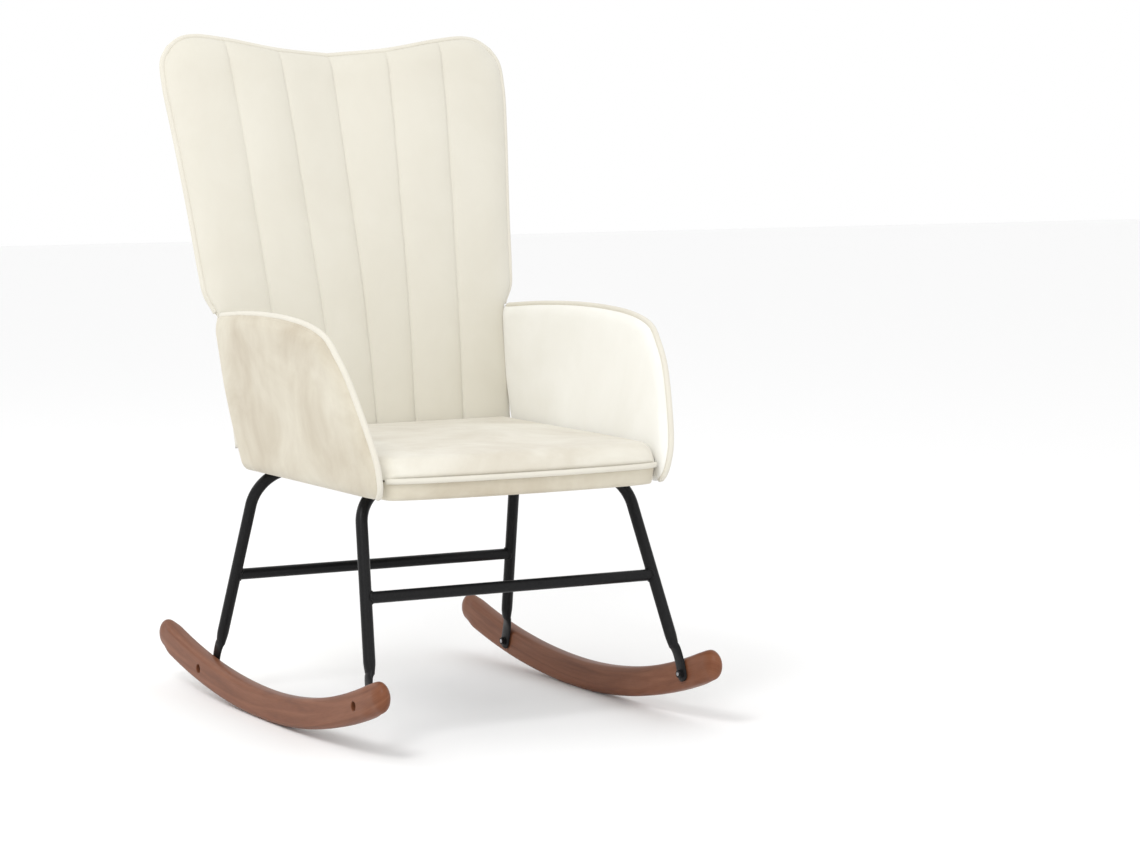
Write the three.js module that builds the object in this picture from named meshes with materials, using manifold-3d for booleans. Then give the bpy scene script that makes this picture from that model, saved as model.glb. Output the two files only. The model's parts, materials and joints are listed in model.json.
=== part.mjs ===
// Upholstered rocking chair: a winged, channelled back, two padded arms and a padded seat,
// carried by two bent-tube leg frames on two wooden rockers.
// Millimetres, +Z up. The sitter faces -Y. The origin is on the floor under the chair's middle,
// where the rockers touch it at rest.
import * as THREE from "three";
import { mergeVertices } from "three/addons/utils/BufferGeometryUtils.js";
import Module from "manifold-3d";

const wasm = await Module();
wasm.setup();

// ---------------------------------------------------------------- driving dimensions

const GAP = 0.3; // between hard pieces that touch
const LAYER_GAP = 0.8; // between curved layers of board and padding

const ROCKER = {
  centreX: 260.2,
  thick: 25.5,
  high: 43.5,
  frontRadius: 1040, // underside, ahead of the contact point
  rearRadius: 1370, // underside, behind the contact point
  halfLength: 386.5,
  edgeRound: 8,
  facetsEachWay: 11,
};

const TUBE = {
  radius: 8.5,
  bendRadius: 60,
  tabThick: 4, // the flattened foot
  tabHalfWide: 12.2,
  tabPastBolt: 11,
  tabFlatTo: 20, // above the bolt the foot stays flat this far
  tabRoundFrom: 60, // and is a round tube again from here
  sides: 10,
};
const STRETCHER_RADIUS = 8.3;

// Where each leg frame is bolted to the rocker, where its stretcher crosses a leg, the height
// of its cross tube's centre, and how much its legs lean inwards per unit of their length. Both
// cross tubes lie inside the seat's apron.
const FRAMES = {
  front: { boltY: -310, stretcherY: -257.9, stretcherZ: 207.1, topZ: 354, inwardLean: 0.1185 },
  rear: { boltY: 222.5, stretcherY: 177.5, stretcherZ: 184.4, topZ: 342, inwardLean: 0.098 },
};
const HOOP_SCREW_X = 110; // from the chair's middle, two in each cross tube

const SEAT = {
  bottomZ: 342.6,
  boardLowZ: 364.5,
  boardHighZ: 375,
  apronInset: 20, // the padded rim below the board is this wide
  weltZ: 369.5,
  edgeZ: 399, // height of the cushion at its rim
  crown: 5, // and how much higher it is in the middle
  frontY: -314,
  rearY: 167, // at the height of the cushion's rim
  boardInset: 8.5,
  sideGap: 3.8, // to the arms
};
const DUST_COVER = { lowZ: 363.4, highZ: 364.2, inset: 22 };
const BATTEN = { halfLong: 150, halfWide: 12, forward: 4.5, highZ: 363.1 };

const BACK = {
  footY: 181, // seam line of the front face, at footZ
  footZ: 402,
  lowSlope: 0.2, // rearward lean per unit of height, low down
  extraSlope: 0.118, // added above bendZ
  bendZ: 590,
  bendBlend: 25,
  padBottomZ: 372,
  boardBottomZ: 349,
  wingMost: 22, // how far the sides come forward of the middle, at the top
  wingLeast: 3,
  wingFromZ: 560,
  wingToZ: 900,
  wingReach: 90, // sideways distance over which they come forward
  boardFrontDepth: 9, // behind the seam line
  boardThick: 12,
  coverThick: 12,
  padProud: 9, // the padding stands this far ahead of the seam line
  layerGap: 2, // between its layers
  weltDepth: -4.5,
};

const ARM = {
  frontFootX: 228.5, // centre of the welt at the front, at frontFootZ
  frontFootZ: 381,
  frontFlare: 0.175, // outward lean per unit of height
  rearFootX: 229,
  rearFootZ: 395,
  rearFlare: 0.06,
  frontY: -302,
  rearY: 199,
  bottomZ: 344,
  innerFace: -9, // depths across the panel, from the welt, outwards positive
  boardInner: -3.5,
  boardOuter: 5.5,
  outerFace: 15,
  boltY: [-180, 60],
  boltZ: 369.7,
};

const WELT_RADIUS = 4.2;
const WELT_CLEAR = WELT_RADIUS + 1.3; // how far boards and pads keep inside the welt's line

// ---------------------------------------------------------------- materials

const finish = (color, roughness, metalness = 0) =>
  new THREE.MeshStandardMaterial({ color, roughness, metalness });
const VELVET = finish(0xe9e4d6, 0.85);
const WELT_CLOTH = finish(0xe2dccb, 0.85);
const PLYWOOD = finish(0xc9a877, 0.7);
const STAINED_WOOD = finish(0x8b624e, 0.45);
const BLACK_TUBE = finish(0x1c1c1d, 0.4, 0.6);
const ZINC = finish(0x8f9193, 0.35, 0.9);
const FELT = finish(0x2b2b2c, 0.95);

// ---------------------------------------------------------------- general helpers

const chair = new THREE.Group();

function addTo(group, name, geometry, material) {
  const mesh = new THREE.Mesh(geometry, material);
  mesh.name = name;
  group.add(mesh);
  return mesh;
}

// Moves every vertex of a closed geometry to the place that a function gives.
function reshaped(geometry, place) {
  const position = geometry.getAttribute("position");
  for (let i = 0; i < position.count; i++) {
    const p = place(position.getX(i), position.getY(i), position.getZ(i));
    position.setXYZ(i, p.x, p.y, p.z);
  }
  return geometry;
}

function toSolid(geometry) {
  const bare = new THREE.BufferGeometry();
  const loose = geometry.index ? geometry.toNonIndexed() : geometry;
  bare.setAttribute("position", loose.getAttribute("position"));
  const merged = mergeVertices(bare, 1e-3);
  return new wasm.Manifold(
    new wasm.Mesh({
      numProp: 3,
      vertProperties: new Float32Array(merged.attributes.position.array),
      triVerts: new Uint32Array(merged.index.array),
    }),
  );
}

function toGeometry(solid) {
  const mesh = solid.getMesh();
  const geometry = new THREE.BufferGeometry();
  geometry.setAttribute("position", new THREE.BufferAttribute(mesh.vertProperties, 3));
  geometry.setIndex(new THREE.BufferAttribute(mesh.triVerts, 1));
  geometry.computeVertexNormals();
  return geometry;
}

// The geometry with each of the cutters taken away.
function cut(geometry, cutters) {
  return toGeometry(cutters.reduce((solid, cutter) => solid.subtract(toSolid(cutter)), toSolid(geometry)));
}

const smoothRise = (value, from, to) => THREE.MathUtils.smoothstep(value, from, to);

// A solid of revolution between two places: steps are [distance along, radius], from start on.
function turned(start, direction, steps, sides) {
  const profile = [[steps[0][0], 0], ...steps, [steps.at(-1)[0], 0]];
  const geometry = new THREE.LatheGeometry(
    profile.map(([along, radius]) => new THREE.Vector2(radius, along)),
    sides,
  );
  const turn = new THREE.Quaternion().setFromUnitVectors(new THREE.Vector3(0, 1, 0), direction);
  return geometry.applyQuaternion(turn).translate(start.x, start.y, start.z);
}

// A side outline, drawn as (y, z), given a thickness along X with its middle at x = 0.
function extrudedAcross(shape, thickness, round = 0) {
  const geometry = new THREE.ExtrudeGeometry(shape, {
    depth: thickness - 2 * round,
    bevelEnabled: round > 0,
    bevelThickness: round,
    bevelSize: round,
    bevelOffset: -round,
    bevelSegments: 2,
    curveSegments: 8,
  });
  geometry.translate(0, 0, round - thickness / 2);
  const turn = new THREE.Matrix4().makeBasis(
    new THREE.Vector3(0, 1, 0),
    new THREE.Vector3(0, 0, 1),
    new THREE.Vector3(1, 0, 0),
  );
  return geometry.applyMatrix4(turn);
}

// A round cord of cloth along a smooth path.
function welt(points, steps) {
  const ring = new THREE.Shape(
    Array.from({ length: 8 }, (_, i) => {
      const angle = (i * Math.PI) / 4;
      return new THREE.Vector2(WELT_RADIUS * Math.cos(angle), WELT_RADIUS * Math.sin(angle));
    }),
  );
  const path = new THREE.CatmullRomCurve3(points);
  return new THREE.ExtrudeGeometry(ring, { steps, extrudePath: path, bevelEnabled: false });
}

// An edge curve moved sideways: turn is 1 for inwards on its left and -1 on its right. The
// trims shorten it at a sharp corner, so that two moved edges still meet there.
function movedEdge(curve, turn, trimStart, trimEnd) {
  const length = curve.getLength();
  return (fraction, inset) => {
    const along = trimStart * inset + fraction * (length - (trimStart + trimEnd) * inset);
    const u = THREE.MathUtils.clamp(along / length, 0, 1);
    const run = curve.getTangentAt(u);
    return curve.getPointAt(u).add(new THREE.Vector3(-run.y, run.x, 0).multiplyScalar(turn * inset));
  };
}

// A patch between four edge curves that share their corners: low and high run along s,
// start and end run along t. Returns a function of s, t and an inset from all the edges.
function patch(low, high, start, end) {
  const trim = (one, u, other, v, turned) => {
    const between = one.getTangentAt(u).angleTo(other.getTangentAt(v));
    return Math.tan((turned ? between : Math.PI - between) / 2);
  };
  const lowStart = trim(low, 0, start, 0, false);
  const lowEnd = trim(low, 1, end, 0, true);
  const highStart = trim(high, 0, start, 1, true);
  const highEnd = trim(high, 1, end, 1, false);
  const edge = {
    low: movedEdge(low, 1, lowStart, lowEnd),
    high: movedEdge(high, -1, highStart, highEnd),
    start: movedEdge(start, -1, lowStart, highStart),
    end: movedEdge(end, 1, lowEnd, highEnd),
  };
  const corner = (one, u, other, v, inset) => one(u, inset).lerp(other(v, inset), 0.5);
  return (s, t, inset = 0) =>
    new THREE.Vector3()
      .addScaledVector(edge.low(s, inset), 1 - t)
      .addScaledVector(edge.high(s, inset), t)
      .addScaledVector(edge.start(t, inset), 1 - s)
      .addScaledVector(edge.end(t, inset), s)
      .addScaledVector(corner(edge.low, 0, edge.start, 0, inset), -(1 - s) * (1 - t))
      .addScaledVector(corner(edge.low, 1, edge.end, 0, inset), -s * (1 - t))
      .addScaledVector(corner(edge.high, 0, edge.start, 1, inset), -(1 - s) * t)
      .addScaledVector(corner(edge.high, 1, edge.end, 1, inset), -s * t);
}

// A slab over a patch, carried through levels from one face to the other. Each level is
// [depth, inset, crown]; place turns the patch's point, its s and t and the depth into x, y, z.
function slab(outline, levels, columns, rows, place) {
  const box = new THREE.BoxGeometry(1, 1, 1, columns, rows, levels.length - 1);
  return reshaped(box, (x, y, z) => {
    const [depth, inset, crown = 0] = levels[Math.round((z + 0.5) * (levels.length - 1))];
    const s = x + 0.5;
    const t = y + 0.5;
    const dome = (1 - (2 * s - 1) ** 2) * (1 - (2 * t - 1) ** 2);
    return place(outline(s, t, inset), depth + crown * dome, s, t);
  });
}

const spline = (points) => new THREE.CatmullRomCurve3(points.map(([a, b]) => new THREE.Vector3(a, b, 0)));
const mirrored = (points) => points.map(([a, b]) => [-a, b]).reverse();

// ---------------------------------------------------------------- fasteners

// A screw: head outermost at start, shank running along direction. Grown is for its clearance.
function screw(start, direction, { headRadius, headHigh, shankRadius, length }, grown = 0) {
  return turned(
    start,
    direction,
    [
      [-grown, headRadius + grown],
      [headHigh + grown, headRadius + grown],
      [headHigh + grown, shankRadius + grown],
      [headHigh + length + grown, shankRadius + grown],
    ],
    8,
  );
}

const UP = new THREE.Vector3(0, 0, 1);
const INWARD = new THREE.Vector3(-1, 0, 0);
const REARWARD = new THREE.Vector3(0, 1, 0);

// ---------------------------------------------------------------- rockers

const underside = (y) => {
  const radius = y < 0 ? ROCKER.frontRadius : ROCKER.rearRadius;
  return radius - Math.sqrt(radius ** 2 - y ** 2);
};

// Height of the rocker's centre line at a place along it.
const rockerMiddle = (y) => {
  const radius = y < 0 ? ROCKER.frontRadius : ROCKER.rearRadius;
  return radius - Math.sqrt((radius - ROCKER.high / 2) ** 2 - y ** 2);
};

// Two arcs, tangent under the chair's middle, thickened to a bar with half-round ends. The
// middle facet is centred on y = 0 and lies flat on the floor.
function rockerOutline() {
  const half = ROCKER.high / 2;
  const facets = ROCKER.facetsEachWay;
  const arc = (radius, sense, offset) => {
    const most = Math.asin((ROCKER.halfLength - half) / (radius - half));
    return Array.from({ length: facets }, (_, i) => {
      const angle = (sense * most * (i + 0.5)) / (facets - 0.5);
      const reach = radius - offset;
      const onFloor = i === 0 && offset === 0;
      return [reach * Math.sin(angle), onFloor ? 0 : radius - reach * Math.cos(angle)];
    });
  };
  const end = (radius, sense) => {
    const most = Math.asin((ROCKER.halfLength - half) / (radius - half));
    const centreY = sense * (radius - half) * Math.sin(most);
    const centreZ = radius - (radius - half) * Math.cos(most);
    return Array.from({ length: 7 }, (_, i) => {
      const angle = sense * most - Math.PI / 2 + (sense * Math.PI * (i + 1)) / 8;
      return [centreY + half * Math.cos(angle), centreZ + half * Math.sin(angle)];
    });
  };
  const { frontRadius, rearRadius, high } = ROCKER;
  const points = [
    ...arc(frontRadius, -1, 0).reverse(),
    ...arc(rearRadius, 1, 0),
    ...end(rearRadius, 1),
    ...arc(rearRadius, 1, high).reverse(),
    ...arc(frontRadius, -1, high),
    ...end(frontRadius, -1).reverse(),
  ];
  return new THREE.Shape(points.map(([y, z]) => new THREE.Vector2(y, z)));
}

const ROCKER_SCREW = { headRadius: 5.6, headHigh: 4, shankRadius: 3, length: 24 };
const COUNTERBORE = { radius: 6.6, deep: 12 };
const NUT = { acrossCorners: 11.5, high: 5, bore: 3.4 };
const rockerOuterX = ROCKER.centreX + ROCKER.thick / 2;
const rockerInnerX = ROCKER.centreX - ROCKER.thick / 2;
const tabX = rockerInnerX - GAP - TUBE.tabThick / 2;

// Towards each end the bar also thins like half an ellipse, so that the ends are fully round.
function endThinning(y) {
  const half = ROCKER.high / 2;
  const past = Math.max(0, Math.abs(y) - (ROCKER.halfLength - half)) / half;
  return Math.sqrt(Math.max(1 - past ** 2, 0.04));
}

function rockerGeometry() {
  const block = extrudedAcross(rockerOutline(), ROCKER.thick, ROCKER.edgeRound);
  const bar = reshaped(block, (x, y, z) => new THREE.Vector3(x * endThinning(y), y, z));
  bar.translate(ROCKER.centreX, 0, 0);
  const holes = Object.values(FRAMES).map(({ boltY }) =>
    turned(
      new THREE.Vector3(rockerOuterX + 1, boltY, rockerMiddle(boltY)),
      INWARD,
      [
        [0, COUNTERBORE.radius],
        [1 + COUNTERBORE.deep, COUNTERBORE.radius],
        [1 + COUNTERBORE.deep, ROCKER_SCREW.shankRadius + GAP],
        [ROCKER.thick + 2, ROCKER_SCREW.shankRadius + GAP],
      ],
      12,
    ),
  );
  return cut(bar, holes);
}

function nutGeometry(boltY) {
  const hexagon = new THREE.Shape(
    Array.from({ length: 6 }, (_, i) => {
      const angle = (i * Math.PI) / 3;
      return new THREE.Vector2(Math.cos(angle), Math.sin(angle)).multiplyScalar(NUT.acrossCorners / 2);
    }),
  );
  hexagon.holes.push(
    new THREE.Path(
      Array.from({ length: 8 }, (_, i) => {
        const angle = (-i * Math.PI) / 4;
        return new THREE.Vector2(Math.cos(angle), Math.sin(angle)).multiplyScalar(NUT.bore);
      }),
    ),
  );
  const nutX = tabX - TUBE.tabThick / 2 - GAP - NUT.high / 2;
  return extrudedAcross(hexagon, NUT.high).translate(nutX, boltY, rockerMiddle(boltY));
}

// ---------------------------------------------------------------- leg frames

// Each frame lies in one leaning plane. In that plane x is across the chair and h is the
// distance up the legs from the bolt.
function framePlane({ boltY, stretcherY, stretcherZ, topZ, inwardLean }) {
  const bolt = new THREE.Vector3(0, boltY, rockerMiddle(boltY));
  const stretcher = new THREE.Vector3(0, stretcherY, stretcherZ);
  const rise = stretcher.clone().sub(bolt).normalize();
  const stretcherH = stretcher.distanceTo(bolt);
  const topH = (topZ - bolt.z) / rise.z;
  const legX = (h) => tabX - inwardLean * h;
  const at = (x, h) => new THREE.Vector3(x, bolt.y + rise.y * h, bolt.z + rise.z * h);
  return { rise, stretcherH, topH, legX, at, inwardLean };
}

// Half of the tube's centre line, from the foot to the middle of the cross tube.
function hoopPath({ topH, legX, inwardLean }) {
  const { bendRadius, tabPastBolt, tabFlatTo, tabRoundFrom } = TUBE;
  const lean = Math.atan(inwardLean);
  const centreH = topH - bendRadius;
  const centreX = legX(centreH) - bendRadius / Math.cos(lean);
  const path = new THREE.Path();
  path.moveTo(tabX, -tabPastBolt);
  path.lineTo(tabX, -0.65 * tabPastBolt);
  path.lineTo(tabX, 0);
  path.lineTo(tabX, tabFlatTo);
  path.bezierCurveTo(
    tabX,
    tabFlatTo + 14,
    legX(tabRoundFrom - 14),
    tabRoundFrom - 14,
    legX(tabRoundFrom),
    tabRoundFrom,
  );
  path.absarc(centreX, centreH, bendRadius, lean, Math.PI / 2, false);
  path.lineTo(0, topH);
  return path.getPoints(4);
}

// The tube: round along the legs and across the top, flattened to a wider tab at each foot.
function hoopTube(frame, grown = 0) {
  const plane = framePlane(frame);
  const half = hoopPath(plane);
  const line = [...half, ...half.slice(0, -1).reverse().map((p) => new THREE.Vector2(-p.x, p.y))];
  const across = new THREE.Vector3(1, 0, 0);
  const square = new THREE.Vector3().crossVectors(across, plane.rise); // square to the frame's plane
  const stations = line.map((point, i) => {
    const before = line[Math.max(i - 1, 0)];
    const after = line[Math.min(i + 1, line.length - 1)];
    const run = after.clone().sub(before).normalize();
    const along = across.clone().multiplyScalar(run.x).addScaledVector(plane.rise, run.y);
    const roundness = smoothRise(point.y, TUBE.tabFlatTo, TUBE.tabRoundFrom);
    const endTaper = Math.min(1, 0.72 + (point.y + TUBE.tabPastBolt) / (1.4 * TUBE.tabPastBolt));
    return {
      centre: plane.at(point.x, point.y),
      thin: new THREE.Vector3().crossVectors(along, square),
      halfThin: THREE.MathUtils.lerp(TUBE.tabThick / 2, TUBE.radius, roundness) + grown,
      halfWide: THREE.MathUtils.lerp(TUBE.tabHalfWide, TUBE.radius, roundness) * endTaper + grown,
    };
  });
  const unit = new THREE.CylinderGeometry(1, 1, 1, TUBE.sides, stations.length - 1);
  return reshaped(unit, (x, y, z) => {
    const { centre, thin, halfThin, halfWide } = stations[Math.round((y + 0.5) * (stations.length - 1))];
    return centre.clone().addScaledVector(thin, x * halfThin).addScaledVector(square, z * halfWide);
  });
}

function hoopGeometry(frame) {
  const boltHoles = [1, -1].map((side) =>
    turned(
      new THREE.Vector3(side * (tabX - TUBE.tabThick), frame.boltY, rockerMiddle(frame.boltY)),
      new THREE.Vector3(side, 0, 0),
      [
        [0, ROCKER_SCREW.shankRadius + GAP],
        [2 * TUBE.tabThick, ROCKER_SCREW.shankRadius + GAP],
      ],
      8,
    ),
  );
  const screwHoles = [1, -1].map((side) => hoopScrew(frame, side * HOOP_SCREW_X, GAP));
  return cut(hoopTube(frame), [...boltHoles, ...screwHoles]);
}

const HOOP_SCREW = { headRadius: 5.5, headHigh: 3, shankRadius: 2.5 };

// A screw up through the cross tube into the seat board.
function hoopScrew(frame, x, grown = 0) {
  const plane = framePlane(frame);
  const top = plane.at(x, plane.topH);
  const start = new THREE.Vector3(x, top.y, frame.topZ - TUBE.radius - HOOP_SCREW.headHigh + 1);
  const length = SEAT.boardLowZ + 8 - (start.z + HOOP_SCREW.headHigh);
  return screw(start, UP, { ...HOOP_SCREW, length }, grown);
}

// The stretcher between a frame's two legs, with its ends shaped to the legs it is welded to.
function stretcherGeometry(frame) {
  const plane = framePlane(frame);
  const middle = plane.at(0, plane.stretcherH);
  const span = 2 * plane.legX(plane.stretcherH);
  const rod = new THREE.CylinderGeometry(STRETCHER_RADIUS, STRETCHER_RADIUS, span, 12);
  rod.rotateZ(Math.PI / 2).translate(middle.x, middle.y, middle.z);
  const legs = [1, -1].map((side) => {
    const low = plane.at(side * plane.legX(plane.stretcherH - 30), plane.stretcherH - 30);
    const high = plane.at(side * plane.legX(plane.stretcherH + 30), plane.stretcherH + 30);
    const direction = high.clone().sub(low);
    const reach = TUBE.radius + GAP;
    return turned(low, direction.clone().normalize(), [[0, reach], [direction.length(), reach]], 16);
  });
  return toGeometry(largestPart(toSolid(cut(rod, legs))));
}

const largestPart = (solid) => solid.decompose().sort((a, b) => b.volume() - a.volume())[0];

// ---------------------------------------------------------------- arms

// Across the chair, where the middle of an arm panel is. It leans out more at the front.
function armMiddle(y, z) {
  const along = THREE.MathUtils.clamp((ARM.rearY - y) / (ARM.rearY - ARM.frontY), 0, 1);
  const front = ARM.frontFootX + ARM.frontFlare * (z - ARM.frontFootZ);
  const rear = ARM.rearFootX + ARM.rearFlare * (z - ARM.rearFootZ);
  return THREE.MathUtils.lerp(rear, front, 1 - (1 - along) ** 1.5);
}

// The arm's side outline as (y, z): flat along the bottom, raked at the front, rounded on top.
const armFront = [[-274, ARM.bottomZ], [-289, 348], [-298, 359], [-302, 380], [-300, 401], [-282, 448]];
const armFrontTop = [[-217, 547.5], [-205, 557], [-184, 565.5], [-143, 573.5]];
const armTop = [...armFrontTop, [-82, 578], [1, 579], [100, 575], [208, 566]];
const armOutline = patch(
  spline([[-274, ARM.bottomZ], [139, ARM.bottomZ]]),
  spline(armTop),
  spline([...armFront, [-249, 511], armTop[0]]),
  spline([[139, ARM.bottomZ], [181, 445], [205, 530], [208, 566]]),
);
const armPlace = (point, depth) =>
  new THREE.Vector3(armMiddle(point.x, point.y) + depth, point.x, point.y);

const ARM_SCREW = { headRadius: 6, headHigh: 3, shankRadius: 2.5, length: 36 };

function armScrew(y, grown = 0) {
  const startX = armMiddle(y, ARM.boltZ) + ARM.boardOuter + GAP + ARM_SCREW.headHigh;
  return screw(new THREE.Vector3(startX, y, ARM.boltZ), INWARD, ARM_SCREW, grown);
}

function armLayers() {
  const clearances = ARM.boltY.map((y) => armScrew(y, GAP));
  const board = slab(
    armOutline,
    [[ARM.boardInner, WELT_CLEAR + 3], [ARM.boardOuter, WELT_CLEAR + 3]],
    7,
    8,
    armPlace,
  );
  const inner = slab(
    armOutline,
    [[ARM.innerFace, WELT_CLEAR + 2], [ARM.boardInner - LAYER_GAP, WELT_CLEAR]],
    7,
    8,
    armPlace,
  );
  const outer = slab(
    armOutline,
    [
      [ARM.boardOuter + LAYER_GAP, WELT_CLEAR],
      [ARM.outerFace - 5, WELT_CLEAR + 2],
      [ARM.outerFace - 2, WELT_CLEAR + 9, 2],
    ],
    7,
    8,
    armPlace,
  );
  return { board: cut(board, clearances), inner: cut(inner, clearances), outer: cut(outer, clearances) };
}

// The welt runs up the arm's front edge and back along its top.
function armWelt() {
  const front = [0.05, 0.14, 0.3, 0.5, 0.7, 0.88].map((t) => armOutline(0, t));
  const top = [0.0, 0.07, 0.15, 0.3, 0.5, 0.75, 0.985].map((s) => armOutline(s, 1));
  return welt([...front, ...top].map((point) => armPlace(point, 0)), 30);
}

// ---------------------------------------------------------------- seat

// Plan outline as (x, y) for a seat 434 wide; its sides are then fitted to the arms.
const PLAN_HALF = 217;
const frontEdge = [[-213, -288], [-206, -294.5], [-180, -303], [-100, -311], [0, SEAT.frontY]];
const seatOutline = patch(
  spline([...frontEdge, ...mirrored(frontEdge).slice(1)]),
  spline([[-PLAN_HALF, SEAT.rearY], [PLAN_HALF, SEAT.rearY]]),
  spline([[-213, -288], [-PLAN_HALF, -278], [-PLAN_HALF, -100], [-PLAN_HALF, SEAT.rearY]]),
  spline([[213, -288], [PLAN_HALF, -278], [PLAN_HALF, -100], [PLAN_HALF, SEAT.rearY]]),
);

// The sides follow the arms' inner faces, and the rear follows the leaning back.
function seatPlace(point, z, s, t) {
  const room = armMiddle(point.y, z) + ARM.innerFace - SEAT.sideGap;
  const lean = BACK.lowSlope * (BACK.footZ - z) * t;
  return new THREE.Vector3((point.x * room) / PLAN_HALF, point.y - lean, z);
}

const WELT_NOTCH = 7; // depth and half height of the notch that the welt lies in

function seatCushion() {
  const { bottomZ, weltZ, edgeZ, crown } = SEAT;
  return slab(
    seatOutline,
    [
      [bottomZ, 3],
      [bottomZ + 5, 0.5],
      [weltZ - WELT_NOTCH, 0],
      [weltZ, WELT_NOTCH],
      [weltZ + WELT_NOTCH, 0],
      [edgeZ - 12, 2],
      [edgeZ - 5, 7],
      [edgeZ, 20, crown],
    ],
    10,
    9,
    seatPlace,
  );
}

const seatLayer = (lowZ, highZ, inset) =>
  slab(
    seatOutline,
    [
      [lowZ, inset],
      [highZ, inset],
    ],
    8,
    8,
    seatPlace,
  );

const seatBoard = (grown = 0) =>
  seatLayer(SEAT.boardLowZ - grown, SEAT.boardHighZ + grown, SEAT.boardInset - grown);

// A wooden batten between the rear cross tube and the seat board.
function battenGeometry() {
  const { rear } = FRAMES;
  const plane = framePlane(rear);
  const middleY = plane.at(0, plane.topH).y;
  const lowZ = rear.topZ + TUBE.radius + GAP;
  const box = new THREE.BoxGeometry(2 * BATTEN.halfLong, 2 * BATTEN.halfWide, BATTEN.highZ - lowZ);
  return box.translate(0, middleY - BATTEN.forward, (lowZ + BATTEN.highZ) / 2);
}

function seatWelt() {
  const stations = [0.005, 0.06, 0.12, 0.22, 0.35, 0.5, 0.65, 0.78, 0.88, 0.94, 0.995];
  const points = stations.map((s) => {
    const point = seatOutline(s, 0);
    return seatPlace(point, SEAT.weltZ, s, 0);
  });
  return welt(points, 30);
}

// ---------------------------------------------------------------- back

// Rearward place of the seam line at the chair's middle.
function backLine(z) {
  const above = BACK.bendBlend * Math.log(1 + Math.exp((z - BACK.bendZ) / BACK.bendBlend));
  return BACK.footY + BACK.lowSlope * (z - BACK.footZ) + BACK.extraSlope * above;
}

// The sides of the back come forward of its middle, more so higher up.
function wingForward(x, z) {
  const most = THREE.MathUtils.lerp(
    BACK.wingLeast,
    BACK.wingMost,
    smoothRise(z, BACK.wingFromZ, BACK.wingToZ),
  );
  return most * (1 - Math.exp(-((x / BACK.wingReach) ** 2)));
}

// Depth is measured forwards from the seam line.
const backPlace = (point, depth) =>
  new THREE.Vector3(point.x, backLine(point.y) - wingForward(point.x, point.y) - depth, point.y);

// Front outline as (x, z), right half, from the arms up to the rounded shoulder.
const backSideUpper = [
  [242, 572], [254, 596], [258, 626], [264, 700], [271.5, 779], [277.5, 838], [283, 900],
];
const shoulderSide = [[281, 939], [269, 958.5]];
const topEdge = [[-269, 958.5], [-249, 971.5], [-226, 975.8], [-180, 971.5], [-90, 956.5], [0, 948.5]];

// The padding fills the width between the arms; board and rear cover are narrower there.
function backPatch(bottomZ, lowSide) {
  const side = [...lowSide, ...backSideUpper, ...shoulderSide];
  const left = side.map(([x, z]) => [-x, z]);
  return patch(
    spline([left[0], side[0]]),
    spline([...topEdge, ...mirrored(topEdge).slice(1)]),
    spline(left),
    spline(side),
  );
}
const padOutline = backPatch(BACK.padBottomZ, [[226, 372], [228, 440], [229, 500], [231, 548]]);
const boardOutline = backPatch(BACK.boardBottomZ, [[190, 349], [206, 445], [220, 540]]);

function backLayers() {
  const { padProud, boardFrontDepth, boardThick, coverThick, layerGap } = BACK;
  const boardRear = boardFrontDepth + boardThick;
  const pad = slab(
    padOutline,
    [
      [-boardFrontDepth + layerGap, WELT_CLEAR],
      [0, WELT_CLEAR],
      [padProud - 4, WELT_CLEAR + 3],
      [padProud, WELT_CLEAR + 14],
    ],
    10,
    13,
    backPlace,
  );
  const board = slab(
    boardOutline,
    [[-boardRear, WELT_CLEAR + 3], [-boardFrontDepth, WELT_CLEAR + 3]],
    8,
    12,
    backPlace,
  );
  const cover = slab(
    boardOutline,
    [
      [-boardRear - coverThick, WELT_CLEAR + 30, -4],
      [-boardRear - coverThick + 5, WELT_CLEAR + 8],
      [-boardRear - layerGap, WELT_CLEAR + 1],
    ],
    8,
    12,
    backPlace,
  );
  return { pad, board, cover };
}

// The welt runs from one arm up the side, over the top and down to the other arm.
function backWelt() {
  const sideStations = [0.345, 0.39, 0.45, 0.52, 0.62, 0.73, 0.84, 0.93];
  const left = sideStations.map((t) => padOutline(0, t));
  const top = [0, 0.05, 0.1, 0.2, 0.35, 0.5, 0.65, 0.8, 0.9, 0.95, 1].map((s) => padOutline(s, 1));
  const right = sideStations.map((t) => padOutline(1, t)).reverse();
  return welt([...left, ...top, ...right].map((point) => backPlace(point, BACK.weltDepth)), 48);
}

// ---------------------------------------------------------------- brackets under the seat's rear

const BRACKET = { thick: 2.4, wide: 40, footLong: 40, lowZ: 350, x: 120 };
const bracketFaceY = (z) => backPlace(new THREE.Vector2(BRACKET.x, z), -BACK.boardFrontDepth).y - 0.6;

// An angle whose foot lies under the seat board and whose flange hangs on the back board.
function bracketGeometry(x, grown = 0) {
  const { thick, wide, footLong } = BRACKET;
  const highZ = SEAT.boardLowZ - GAP + grown;
  const footLowZ = highZ - thick - 2 * grown;
  const lowZ = BRACKET.lowZ - grown;
  const outline = [
    [bracketFaceY(highZ) - footLong - grown, footLowZ],
    [bracketFaceY(footLowZ) - thick, footLowZ],
    [bracketFaceY(lowZ) - thick, lowZ],
    [bracketFaceY(lowZ), lowZ],
    [bracketFaceY(highZ), highZ],
    [bracketFaceY(highZ) - footLong - grown, highZ],
  ];
  const shape = new THREE.Shape(outline.map(([y, z]) => new THREE.Vector2(y, z)));
  return extrudedAcross(shape, wide + 2 * grown).translate(x, 0, 0);
}

const BRACKET_SCREW = { headRadius: 4, headHigh: 0.9, shankRadius: 1.8, length: 10 };

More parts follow.
